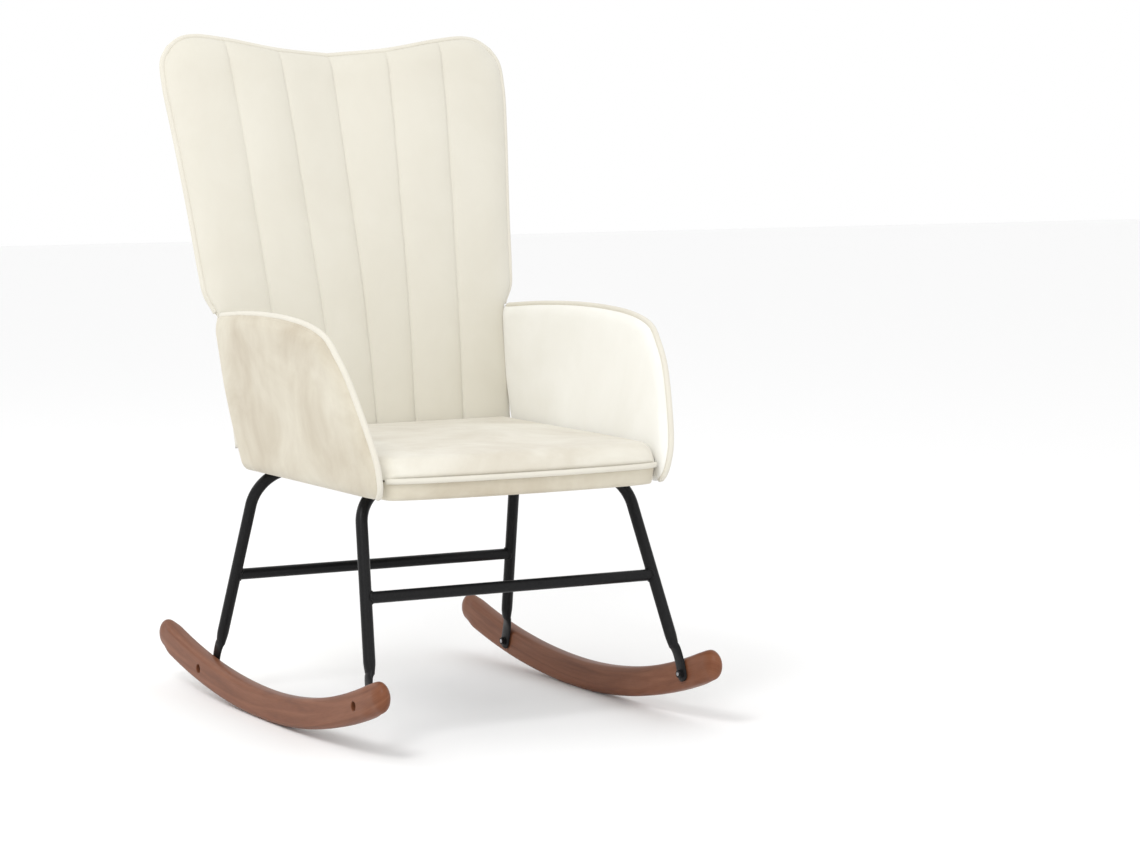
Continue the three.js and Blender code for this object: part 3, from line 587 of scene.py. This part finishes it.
def rockerPiece(name, side):
    # Rings round the centre line. A ring's places are the centre line's two sides and its two
    # half-circle ends; each ring stands rho off the line and x off the middle plane. Towards the
    # ends the section turns into an oval, so each end is a rounded tip.
    half = rocker["high"] / 2
    reach = rocker["halfLength"] - half
    y = np.linspace(-reach, reach, rocker["stations"])
    line = np.stack([y, rockerMiddle(y)], 1)
    run = np.gradient(line, axis=0)
    run /= np.linalg.norm(run, axis=1)[:, None]
    up = np.stack([-run[:, 1], run[:, 0]], 1)
    steps = rocker["endSteps"]
    turn = np.linspace(0, np.pi, steps + 2)[1:-1, None]
    ahead = np.cos(turn) * up[-1] + np.sin(turn) * run[-1]
    behind = -np.cos(turn) * up[0] - np.sin(turn) * run[0]
    base = np.vstack([line, np.repeat(line[-1:], steps, 0), line[::-1], np.repeat(line[:1], steps, 0)])
    off = np.vstack([up, ahead, -up[::-1], behind])
    rho, x = rockerSection()
    places = base[None] + off[None] * rho[:, None, None]
    pastFlat = np.abs(places[..., 0]) - reach + rocker["roundFrom"]
    nearEnd = smoothStep(pastFlat / (rocker["roundFrom"] + rocker["roundTo"]))
    oval = np.sign(x) * np.sqrt(1 - np.minimum(rho / half, 1) ** 2)
    across = rocker["thick"] / 2 * (x[:, None] + (oval - x)[:, None] * nearEnd)
    points = np.stack([side * (rocker["centreX"] + across), places[..., 0], places[..., 1]], -1)

    # the grain's map: u runs with the bar and on round its ends, v up the face and over the edge
    length = np.concatenate([[0], np.cumsum(np.linalg.norm(np.diff(line, axis=0), axis=1))])
    station = np.concatenate([length, np.full(steps, length[-1]), length[::-1], np.zeros(steps)])
    level = np.zeros(len(line))
    lift = np.concatenate([level + 1, np.cos(turn[:, 0]), level - 1, -np.cos(turn[:, 0])])
    onward = np.concatenate([level, np.sin(turn[:, 0]), level, -np.sin(turn[:, 0])])
    u = (station[None] + onward[None] * rho[:, None]) * 0.001
    v = (lift[None] * rho[:, None] + across * 0.7) * 0.001
    uv = np.stack([u, v + side * rocker["grainApart"]], -1)

    index = np.arange(points.shape[0] * points.shape[1]).reshape(points.shape[:2])
    bar = newPiece(name, points.reshape(-1, 3), gridFaces(index, wrapColumns=True), uv.reshape(-1, 2))
    drilled(tidied(bar), rockerBores(side))
    return dressed(softEdges(bar, 40), "stained_wood", "rocker_left" if side > 0 else "rocker_right")


rockerPiece("rockerLeft", 1)
rockerPiece("rockerRight", -1)
print("rockers made")


hoop = {
    "radius": 8.5, "bend": 60.0, "tabX": 245.15, "tabThick": 4.0, "tabHalfWide": 12.2,
    "tabPastBolt": 11.0, "tabRound": 9.0, "flatTo": 20.0, "roundFrom": 60.0, "boreRadius": 3.3,
    "leanFrom": 6.0, "leanTo": 40.0, "stretcherRadius": 8.3, "stretcherInside": 3.0,
    "beadRadius": 1.5, "beadRipple": 0.25,
}
frames = {
    "front": {"boltY": -310.0, "stretcherY": -257.9, "stretcherZ": 207.1, "topZ": 354.0, "lean": 0.1185},
    "rear": {"boltY": 222.5, "stretcherY": 177.5, "stretcherZ": 184.4, "topZ": 342.0, "lean": 0.098},
}


def framePlane(which):
    # each leg frame lies in one leaning plane; at(x, h) is a place in it, h up from the bolt
    spot = frames[which]
    bolt = np.array([0, spot["boltY"], float(rockerMiddle(spot["boltY"]))])
    stretcher = np.array([0, spot["stretcherY"], spot["stretcherZ"]])
    stretcherH = float(np.linalg.norm(stretcher - bolt))
    rise = (stretcher - bolt) / stretcherH

    def at(x, h):
        x, h = np.broadcast_arrays(np.asarray(x, float), np.asarray(h, float))
        return bolt + x[..., None] * np.array([1.0, 0, 0]) + h[..., None] * rise
    topH = (spot["topZ"] - bolt[2]) / rise[2]
    return {"at": at, "rise": rise, "topH": topH, "stretcherH": stretcherH}


def hoopLine(which):
    # half of the tube's centre line in its plane, foot to middle: straight tab, straight leg,
    # an arc, and the cross tube
    topH = framePlane(which)["topH"]
    lean = frames[which]["lean"]
    angle = math.atan(lean)
    centreH = topH - hoop["bend"]
    centreX = hoop["tabX"] - lean * centreH - hoop["bend"] / math.cos(angle)
    turn = np.linspace(angle, np.pi / 2, 26)
    arc = np.stack([centreX + hoop["bend"] * np.cos(turn), centreH + hoop["bend"] * np.sin(turn)], 1)
    foot = np.linspace(-hoop["tabPastBolt"], hoop["roundFrom"], 36)
    leg = np.linspace(hoop["roundFrom"], arc[0, 1], 12)[1:-1]
    straight = np.concatenate([foot, leg])
    leanTo = hoop["leanTo"]
    eased = np.clip((straight - hoop["leanFrom"]) / leanTo, 0, 1) ** 2 * np.clip(straight, 0, leanTo) / leanTo
    offLine = np.where(straight < leanTo, eased * lean * straight, lean * straight)
    low = np.stack([hoop["tabX"] - offLine, straight], 1)
    across = np.stack([np.linspace(arc[-1, 0], 0, 8)[1:], np.full(7, topH)], 1)
    return np.vstack([low, arc, across])


def hoopPiece(name, which):
    # the round tube, pressed flat and wider at its two feet, whose ends are rounded off
    plane = framePlane(which)
    half = hoopLine(which)
    line = np.vstack([half, half[-2::-1] * [-1, 1]])
    path = plane["at"](line[:, 0], line[:, 1])
    run = np.gradient(path, axis=0)
    run /= np.linalg.norm(run, axis=1)[:, None]
    square = np.cross([1.0, 0, 0], plane["rise"])
    thin = np.cross(run, square)
    h = line[:, 1]
    roundness = smoothStep((h - hoop["flatTo"]) / (hoop["roundFrom"] - hoop["flatTo"]))
    past = np.clip((-h - hoop["tabPastBolt"] + hoop["tabRound"]) / hoop["tabRound"], 0, 1)
    end = np.sqrt(np.clip(1 - past**2 * 0.75, 0, 1))
    halfThin = hoop["tabThick"] / 2 + (hoop["radius"] - hoop["tabThick"] / 2) * roundness
    halfWide = (hoop["tabHalfWide"] + (hoop["radius"] - hoop["tabHalfWide"]) * roundness) * end
    piece = tube(name, path, hoop["radius"], 28, lie=thin, squash=np.stack([halfThin, halfWide], 1))
    boltY = frames[which]["boltY"]
    bore = [(0, hoop["boreRadius"]), (12, hoop["boreRadius"])]
    cutters = []
    for side in (1, -1):
        start = (side * (hoop["tabX"] - 6), boltY, float(rockerMiddle(boltY)))
        cutters.append(turned("cutter", start, (side, 0, 0), bore, sides=24))
    drilled(piece, cutters)
    return dressed(softEdges(piece, 40), "black_steel", "leg_hoop_" + which)


def stretcherPiece(name, which):
    # a straight tube between the legs, with a bead of weld lying where it meets each leg: round
    # the stretcher, as far out as the leg's surface is at each height
    plane = framePlane(which)
    lean = frames[which]["lean"]
    legX = hoop["tabX"] - lean * plane["stretcherH"]
    middle = plane["at"](0, plane["stretcherH"])
    r = hoop["stretcherRadius"]
    end = legX - hoop["stretcherInside"]
    path = np.stack([np.linspace(-end, end, 40), np.full(40, middle[1]), np.full(40, middle[2])], 1)
    pieces = [tube("rod", path, r, 28)]
    turn = np.linspace(0, 2 * np.pi, 48, endpoint=False)
    square = np.cross([1.0, 0, 0], plane["rise"])
    ripple = hoop["beadRipple"] * np.sin(turn * 11)
    offSquare = (r + 0.3) * np.cos(turn)
    offRise = (r + 0.3) * np.sin(turn)
    out = legX - lean * offRise - np.sqrt(hoop["radius"] ** 2 - np.minimum(offSquare**2, 60)) - 0.2
    lie = np.tile([1.0, 0, 0], (48, 1))
    for side in (1, -1):
        ring = middle + np.outer(side * (out + ripple), [1.0, 0, 0])
        ring = ring + np.outer(offSquare, square) + np.outer(offRise, plane["rise"])
        pieces.append(tube("bead", ring, hoop["beadRadius"], 8, lie=lie, closed=True))
    whole = joined(name, pieces)
    return dressed(softEdges(whole, 50), "black_steel", "leg_stretcher_" + which)


for which in ("front", "rear"):
    hoopPiece("legHoop" + which.title(), which)
    stretcherPiece("legStretcher" + which.title(), which)
print("leg frames made")


fastener = {
    "gap": 0.3, "headRadius": 5.6, "headHigh": 4.0, "shank": 3.0, "length": 24.0,
    "key": 2.6, "keyDeep": 2.4, "nutRadius": 5.75, "nutHigh": 5.0, "nutBore": 3.35,
}


def boltPiece(name, side, end, boltY):
    # a cap screw: rounded head with a six-sided socket, shank, chamfered tip
    outer = rocker["centreX"] + rocker["thick"] / 2
    high = fastener["headHigh"]
    startX = side * (outer - rocker["holeDeep"] + high + fastener["gap"])
    start = (startX, boltY, float(rockerMiddle(boltY)))
    r, shank, key, tip = fastener["headRadius"], fastener["shank"], fastener["key"], high + fastener["length"]
    socket = [(fastener["keyDeep"], 0.01), (fastener["keyDeep"], key), (0.0, key)]
    head = [(0.0, r - 0.8), (0.3, r - 0.2), (0.9, r), (high - 0.3, r), (high, r - 0.3)]
    profile = socket + head + [(high, shank), (tip - 0.7, shank), (tip, shank - 0.7)]
    piece = turned(name, start, (-side, 0, 0), profile, 36, hexagon=(0, 1, 2))
    sideName = "left" if side > 0 else "right"
    return dressed(softEdges(piece, 30), "zinc_steel", "rocker_bolt_" + end + "_" + sideName)


def nutPiece(name, side, end, boltY):
    # a flanged nut on the inside of the tab: washer face, six flats chamfered at the top
    nutX = hoop["tabX"] - hoop["tabThick"] / 2 - fastener["gap"]
    start = (side * nutX, boltY, float(rockerMiddle(boltY)))
    r, high, bore = fastener["nutRadius"], fastener["nutHigh"], fastener["nutBore"]
    flange = [(0.0, bore), (0.0, r + 1.2), (0.7, r + 1.2), (0.9, r + 0.1)]
    profile = flange + [(1.0, r), (high - 0.6, r), (high, r - 0.8), (high, bore)]
    piece = turned(name, start, (-side, 0, 0), profile, 36, hexagon=(3, 4, 5))
    sideName = "left" if side > 0 else "right"
    return dressed(softEdges(piece, 30), "black_steel", "rocker_nut_" + end + "_" + sideName)


for side, sideName in ((1, "Left"), (-1, "Right")):
    for end, boltY in (("front", rocker["boltY"][0]), ("rear", rocker["boltY"][1])):
        boltPiece("rockerBolt" + end.title() + sideName, side, end, boltY)
        nutPiece("rockerNut" + end.title() + sideName, side, end, boltY)
print("bolts and nuts made")


arm = {
    "rearY": 199.0, "frontY": -302.0, "bottomZ": 344.0,
    "frontFoot": (228.5, 381.0), "frontFlare": 0.175, "rearFoot": (229.0, 395.0), "rearFlare": 0.06,
    "outerProud": 14.0, "innerProud": 9.0, "boardOuter": 6.1, "boardInner": 4.1,
    "outerRolls": (14.0, 30.0, 32.0, 16.0), "innerRolls": (9.0, 18.0, 20.0, 5.0), "boardRoll": 7.0,
    "swell": (2.5, 1.2), "uneven": 0.5, "columns": 84, "rows": 46, "welt": 4.2,
}


def armMiddle(y, z):
    # across the chair, where the middle of an arm panel is; it leans out more at the front
    share = 1 - (1 - np.clip((arm["rearY"] - y) / (arm["rearY"] - arm["frontY"]), 0, 1)) ** 1.5
    front = arm["frontFoot"][0] + arm["frontFlare"] * (z - arm["frontFoot"][1])
    rear = arm["rearFoot"][0] + arm["rearFlare"] * (z - arm["rearFoot"][1])
    return rear + (front - rear) * share


# the arm's side outline as (y, z): flat below, raked at the front, rounded on top
armBottom = [(-274, arm["bottomZ"]), (139, arm["bottomZ"])]
armFront = [(-289, 348), (-298, 359), (-302, 380), (-300, 401), (-282, 448), (-249, 511)]
armTop = [
    (-217, 547.5), (-205, 557), (-184, 565.5), (-143, 573.5), (-82, 578), (1, 579), (100, 575), (208, 566),
]
armOutline = patch(
    smoothLine(armBottom),
    smoothLine(armTop),
    smoothLine(armBottom[:1] + armFront + armTop[:1]),
    smoothLine(armBottom[1:] + [(181, 445), (205, 530), (209, 566)]),
)


def armPad(name, side, outward, sheetDepth, proud, nodeName):
    # a sheet over the arm's outline that rises from the border in quarter rounds, with a slight
    # crown, and a second sheet that lies on the board; depth runs outwards from the middle plane
    s, t = np.meshgrid(spread(arm["columns"]), spread(arm["rows"]))
    flat = armOutline(s, t)
    rise = rolled(armOutline, flat, arm["outerRolls" if outward > 0 else "innerRolls"])
    crown = 16 * s * (1 - s) * t * (1 - t)
    wave = unevenness(flat, 38, 3 if outward > 0 else 5) * arm["uneven"]
    depth = rise * (proud - 1.0 + crown + wave)
    inner = rolled(armOutline, flat, (arm["boardRoll"],) * 4) * sheetDepth
    middle = armMiddle(flat[..., 0], flat[..., 1])
    front = np.stack([side * (middle + outward * depth), flat[..., 0], flat[..., 1]], -1)
    rear = np.stack([side * (middle + outward * inner), flat[..., 0], flat[..., 1]], -1)
    piece = padMesh(name, front, rear)
    inflated(piece, borderHeld(piece, front), arm["swell"][0 if outward > 0 else 1])
    sideName = "left" if side > 0 else "right"
    # outer faces take the darker copy of the velvet (painted shade), inner faces the lighter copy (painted
    # light)
    return dressed(piece, "velvet", nodeName + sideName, fill=0.7, finish=shadedVelvet if outward > 0 else litVelvet)


def armWelt(name, side):
    # the cord runs up the arm's front edge and back along its top
    t = np.linspace(0.03, 1, 60)[:-1]
    s = np.linspace(0, 0.99, 110)
    flat = np.vstack([armOutline(np.zeros_like(t), t), armOutline(s, np.ones_like(s))])
    flat = along(flat, np.linspace(0, 1, 150))
    path = np.stack([side * armMiddle(flat[:, 0], flat[:, 1]), flat[:, 0], flat[:, 1]], 1)
    lie = np.tile([1.0, 0, 0], (150, 1))
    size = arm["welt"] * np.clip(np.minimum(np.arange(150), np.arange(150)[::-1]) / 2 + 0.3, 0, 1)
    piece = tube(name, path, arm["welt"], 14, lie=lie, squash=np.stack([size, size], 1))
    return dressed(piece, "welt_velvet", "arm_welt_" + ("left" if side > 0 else "right"))


for side, sideName in ((1, "Left"), (-1, "Right")):
    armPad("armOuterPad" + sideName, side, 1, arm["boardOuter"], arm["outerProud"], "arm_outer_pad_")
    armPad("armInnerPad" + sideName, side, -1, arm["boardInner"], arm["innerProud"], "arm_inner_pad_")
    armWelt("armWelt" + sideName, side)
print("arms made")


backLean = {  # the back's front face: a lean from a place at the seat, that bends back higher up
    "y": 181.0, "z": 402.0, "slope": 0.2, "bendZ": 590.0, "bendOver": 25.0, "bendSlope": 0.118,
}
seat = {
    "weltZ": 369.5, "edgeZ": 399.5, "crown": 4.0, "rearY": 167.0, "boardTop": 376.0, "boardRoll": 8.0,
    "rollFront": 30.0, "rollRear": 10.0, "rollSideFront": 20.0, "rollSideRear": 10.0,
    "wide": 434.0, "long": 470.0, "halfWide": 217.0, "toArmMiddle": 12.8,
    "swell": 2.5, "uneven": 0.8, "columns": 90, "rows": 92, "welt": 4.0, "weltProud": 0.8,
}
seatFront = [(-215, -288), (-207, -295), (-180, -303), (-100, -311), (0, -314)]
seatOutline = patch(
    smoothLine(seatFront + [(-x, y) for x, y in seatFront[-2::-1]]),
    smoothLine([(-217, seat["rearY"]), (217, seat["rearY"])]),
    smoothLine([(-215, -288), (-219.5, -278), (-219.5, -200), (-217.5, -60), (-217, seat["rearY"])]),
    smoothLine([(215, -288), (219.5, -278), (219.5, -200), (217.5, -60), (217, seat["rearY"])]),
)


def seatPlace(flat, z, t):
    # the sides follow the arms' inner faces, and the rear follows the leaning back
    room = armMiddle(flat[..., 1], z) - seat["toArmMiddle"]
    x = flat[..., 0] * room / seat["halfWide"]
    y = flat[..., 1] - backLean["slope"] * (backLean["z"] - z) * t
    return np.stack([x, y, z + 0 * t], -1)


def seatCushion():
    # rises from the welt in quarter rounds to a nearly flat, slightly crowned top; the second
    # sheet lies on the board
    s, t = np.meshgrid(spread(seat["columns"]), spread(seat["rows"]))
    flat = seatOutline(s, t)
    rise = quarterRound(distanceTo(seatOutline.edges[0], flat), seat["rollFront"])
    rise = rise * quarterRound(distanceTo(seatOutline.edges[1], flat), seat["rollRear"])
    rearward = np.clip(t * 2.5, 0, 1)
    sideRoll = seat["rollSideFront"] + (seat["rollSideRear"] - seat["rollSideFront"]) * rearward
    for edge in seatOutline.edges[2:]:
        rise = rise * quarterRound(distanceTo(edge, flat), sideRoll)
    crown = 16 * s * (1 - s) * t * (1 - t) * seat["crown"]
    wave = unevenness(flat, 55, 8) * seat["uneven"]
    top = seat["weltZ"] + rise * (seat["edgeZ"] - seat["weltZ"] + crown + wave)
    onBoard = rolled(seatOutline, flat, (seat["boardRoll"],) * 4)
    low = seat["weltZ"] + onBoard * (seat["boardTop"] - seat["weltZ"])
    front = seatPlace(flat, top, t)
    piece = padMesh("seatCushion", front, seatPlace(flat, low, t))
    inflated(piece, borderHeld(piece, front), seat["swell"])
    # the seat's copy of the velvet, its tones set for the light on its top: painted light and shade
    return dressed(piece, "velvet", "seat_cushion", fill=0.7, finish=seatVelvet)


def seatRing(inset, z, count=90):
    # the seat's outline moved inwards by an inset, as a closed loop; inset and z are (rows,)
    u = np.linspace(0, 1, count, endpoint=False)
    s = np.concatenate([u, np.ones(count), 1 - u, np.zeros(count)])[None]
    t = np.concatenate([np.zeros(count), u, np.ones(count), 1 - u])[None]
    inset, z = np.asarray(inset, float)[:, None], np.asarray(z, float)[:, None]
    s = np.clip(s, inset / seat["wide"], 1 - inset / seat["wide"])
    t = np.clip(t, inset / seat["long"], 1 - inset / seat["long"])
    return seatPlace(seatOutline(s, t), z + 0 * s, t)


def seatBand():
    # the border below the welt: a thin padded strip carried round the seat, turned in under it
    # and up to the board; its section is in (inset, height)
    outer = [
        (1.2, 369), (0.3, 366), (-0.6, 357), (-0.2, 348.5), (1.4, 344.4), (4.6, 342.7), (12, 342.4),
        (17, 343.2),
    ]
    inner = [
        (19.5, 347), (20, 363.5), (17.5, 363.5), (16.6, 349), (12, 345.8), (6, 346.2), (3.6, 349.6),
        (3.4, 368.5),
    ]
    profile = np.array(outer + inner)
    places = seatRing(profile[:, 0], profile[:, 1])
    index = np.arange(places.shape[0] * places.shape[1]).reshape(places.shape[:2])
    faces = gridFaces(index, wrapRows=True, wrapColumns=True)
    piece = tidied(newPiece("seatBand", places.reshape(-1, 3), faces))
    # the band takes the darker copy of the velvet: painted shade on a face turned from the light
    return dressed(piece, "velvet", "seat_cushion", fill=0.5, finish=shadedVelvet)


def seatWelt():
    s = np.linspace(0.0, 1.0, 120)
    flat = seatOutline(s, np.zeros(120))
    path = seatPlace(flat, np.full(120, seat["weltZ"]), np.zeros(120))
    path[:, 1] -= seat["weltProud"]
    piece = tube("seatWelt", path, seat["welt"], 14)
    return dressed(piece, "welt_velvet", "seat_welt")


cover = {
    "lowZ": 363.4, "thick": 0.8, "inset": 22.0, "sag": 3.0, "sagFrom": -180.0, "sagTo": 100.0,
    "sagHalfWide": 195.0, "screwX": (-110.0, 110.0), "screwY": (-202.0, 128.0), "holeRadius": 3.6,
}


def dustCover():
    # thin black cloth stapled under the board: its middle hangs a little, between the cross tubes
    # that press it flat; four small holes let the frame screws through
    s, t = np.meshgrid(np.linspace(0, 1, 60), np.linspace(0, 1, 66))
    insetS, insetT = cover["inset"] / seat["wide"], cover["inset"] / seat["long"]
    s = insetS + s * (1 - 2 * insetS)
    t = insetT + t * (1 - 2 * insetT)
    flat = seatOutline(s, t)
    rearward = np.clip((flat[..., 1] - cover["sagFrom"]) / (cover["sagTo"] - cover["sagFrom"]), 0, 1)
    across = np.clip(flat[..., 0] / cover["sagHalfWide"], -1, 1)
    hang = cover["sag"] * np.sin(np.pi * rearward) ** 2 * np.cos(across * np.pi / 2)
    low = seatPlace(flat, cover["lowZ"] - hang, t)
    high = seatPlace(flat, cover["lowZ"] + cover["thick"] - hang, t)
    piece = padMesh("dustCover", high, low)
    hole = [(0, cover["holeRadius"]), (7, cover["holeRadius"])]
    starts = [(x, y, cover["lowZ"] - 3) for x in cover["screwX"] for y in cover["screwY"]]
    drilled(piece, [turned("cutter", start, (0, 0, 1), hole, sides=16) for start in starts])
    dressed(softEdges(piece), "felt", "dust_cover")
    return piece


seatCushion()
seatBand()
seatWelt()
dustCover()
print("seat made")


back = {
    "proud": 7.5, "channel": 4.5, "weltDepth": -4.5, "welt": 4.2, "weltFrom": 0.333,
    "rollTop": 30.0, "rollSide": 42.0, "rollSideLow": 6.0, "rollBottom": 14.0, "rollFrom": (545.0, 640.0),
    "padRear": -7.0, "boardRoll": 6.0, "swell": 2.0, "stitchDeep": 1.2, "uneven": 0.35,
    "coverEdge": -5.5, "coverInner": -23.0, "coverOuter": -33.0, "coverRoll": 16.0,
    "coverBoardRoll": 8.0, "coverCrown": 5.0, "coverUneven": 0.5, "rows": 120, "perChannel": 15,
}
seams = {  # x of the near and far sewn lines at a height, and how they spread with it
    "near": (73.0, 584.0, 0.0459), "far": (156.0, 570.0, 0.06),
}
wing = {"fromZ": 560.0, "over": 340.0, "low": 3.0, "more": 19.0, "halfWide": 90.0}
backSide = [
    (242, 572), (254, 596), (258, 626), (264, 700), (271.5, 779), (277.5, 838), (283, 900), (281, 939),
    (269, 958.5),
]
backTop = [(-269, 958.5), (-249, 971.5), (-226, 975.8), (-180, 971.5), (-90, 956.5), (0, 948.5)]


def backLine(z):
    # how far back the seam line of the front face is at each height
    straight = backLean["y"] + backLean["slope"] * (z - backLean["z"])
    over = backLean["bendOver"]
    return straight + backLean["bendSlope"] * over * np.logaddexp(0, (z - backLean["bendZ"]) / over)


def wingForward(x, z):
    # the sides come forward of the middle, more so higher up
    rise = smoothStep((z - wing["fromZ"]) / wing["over"])
    return (wing["low"] + wing["more"] * rise) * (1 - np.exp(-((x / wing["halfWide"]) ** 2)))


def backPlace(flat, depth):
    x, z = flat[..., 0], flat[..., 1]
    return np.stack([x, backLine(z) - wingForward(x, z) - depth, z], -1)


def backPatch(lowSide):
    side = smoothLine(lowSide + backSide)
    halfTop = smoothLine(backTop, 300)
    top = np.vstack([halfTop, halfTop[-2::-1] * [-1, 1]])
    low = smoothLine([(-lowSide[0][0], lowSide[0][1]), lowSide[0]])
    return patch(low, along(top, np.linspace(0, 1, 401)), side * [-1, 1], side)


padOutline = backPatch([(229, 372), (231.5, 440), (232, 500), (234.5, 548)])
boardOutline = backPatch([(190, 349), (206, 445), (220, 540)])


def channelColumns(t):
    # for each row, the fractions s at the five sewn lines; between them the columns crowd
    # towards the seams. Returns s and each column's place across its channel, 0 to 1
    fine = np.linspace(0, 1, 601)[None].repeat(len(t), 0)
    flat = padOutline(fine, t[:, None].repeat(601, 1))
    near, far = seams["near"], seams["far"]
    nearX = near[0] + (flat[..., 1] - near[1]) * near[2]
    farX = far[0] + (flat[..., 1] - far[1]) * far[2]
    lines = [np.zeros(len(t))]
    for seamX in (-farX, -nearX, 0 * nearX, nearX, farX):
        lines.append((flat[..., 0] < seamX).sum(1) / 600)
    lines.append(np.ones(len(t)))
    lines = np.stack(lines, 1)
    across = spread(back["perChannel"] + 1, 0.85)[:-1]
    s = lines[:, :-1, None] + (lines[:, 1:] - lines[:, :-1])[..., None] * across
    place = np.broadcast_to(across, s.shape)
    s = np.hstack([s.reshape(len(t), -1), np.ones((len(t), 1))])
    return s, np.hstack([place.reshape(len(t), -1), np.zeros((len(t), 1))])


def backPad():
    # the channelled front: a broad roll from the border, plus a puff across each channel that is
    # 0 on its seams and 1 in its middle, plus the sewn line itself as a narrow groove
    rows = spread(back["rows"], 0.5)
    s, across = channelColumns(rows)
    t = rows[:, None] + 0 * s
    flat = padOutline(s, t)
    low, high = back["rollFrom"]
    share = smoothStep((flat[..., 1] - low) / (high - low))
    side = back["rollSideLow"] + (back["rollSide"] - back["rollSideLow"]) * share
    rise = rolled(padOutline, flat, (back["rollBottom"], back["rollTop"], side, side))
    puff = (1 - np.abs(2 * across - 1) ** 2.6) ** 0.8
    sewn = (across == 0)
    sewn[:, [0, -1]] = False
    depth = back["weltDepth"] + rise * (back["proud"] - back["weltDepth"])
    depth = depth + np.sqrt(rise) * back["channel"] * puff + rise * unevenness(flat, 60, 2) * back["uneven"]
    depth = depth - back["stitchDeep"] * sewn * np.sqrt(rise)
    onBoard = rolled(padOutline, flat, (back["boardRoll"],) * 4)
    rearDepth = back["weltDepth"] + onBoard * (back["padRear"] - back["weltDepth"])
    front = backPlace(flat, depth)
    piece = padMesh("backPad", front, backPlace(flat, rearDepth))
    free = front.copy()
    free[sewn] = 1e6
    inflated(piece, borderHeld(piece, free), back["swell"])
    # the back pad's copy of the velvet, its tones set for the light on its front: painted light and shade
    return dressed(piece, "velvet", "back_pad", fill=0.6, finish=smoothVelvet)


def backCover():
    # the bag behind the board: from the welt round the board's edge to a softly crowned rear
    s, t = np.meshgrid(spread(76), spread(86))
    flat = boardOutline(s, t)
    rise = rolled(boardOutline, flat, (back["coverRoll"],) * 4)
    crown = 16 * s * (1 - s) * t * (1 - t) * back["coverCrown"]
    crown = crown + unevenness(flat, 70, 4) * back["coverUneven"]
    edge = back["coverEdge"]
    outer = edge + rise * (back["coverOuter"] - edge - crown)
    onBoard = rolled(boardOutline, flat, (back["coverBoardRoll"],) * 4)
    inner = edge + onBoard * (back["coverInner"] - edge)
    front = backPlace(flat, outer)
    piece = padMesh("backCover", front, backPlace(flat, inner))
    inflated(piece, borderHeld(piece, front), back["swell"])
    return dressed(piece, "velvet", "back_cover", fill=0.5)


def backWelt():
    # the cord runs from one arm up the side, over the top and down to the other arm
    t = np.linspace(back["weltFrom"], 1, 120)
    s = np.linspace(0, 1, 200)[1:-1]
    sideLine = padOutline(np.zeros_like(t), t)
    top = padOutline(s, np.ones_like(s))
    flat = np.vstack([sideLine, top, sideLine[::-1] * [-1, 1]])
    flat = along(flat, np.linspace(0, 1, 420))
    path = backPlace(flat, back["weltDepth"])
    lie = np.tile([0.0, -1.0, 0.2], (420, 1))
    piece = tube("backWelt", path, back["welt"], 14, lie=lie)
    return dressed(piece, "welt_velvet", "back_welt")


backPad()
backCover()
backWelt()
print("back made")
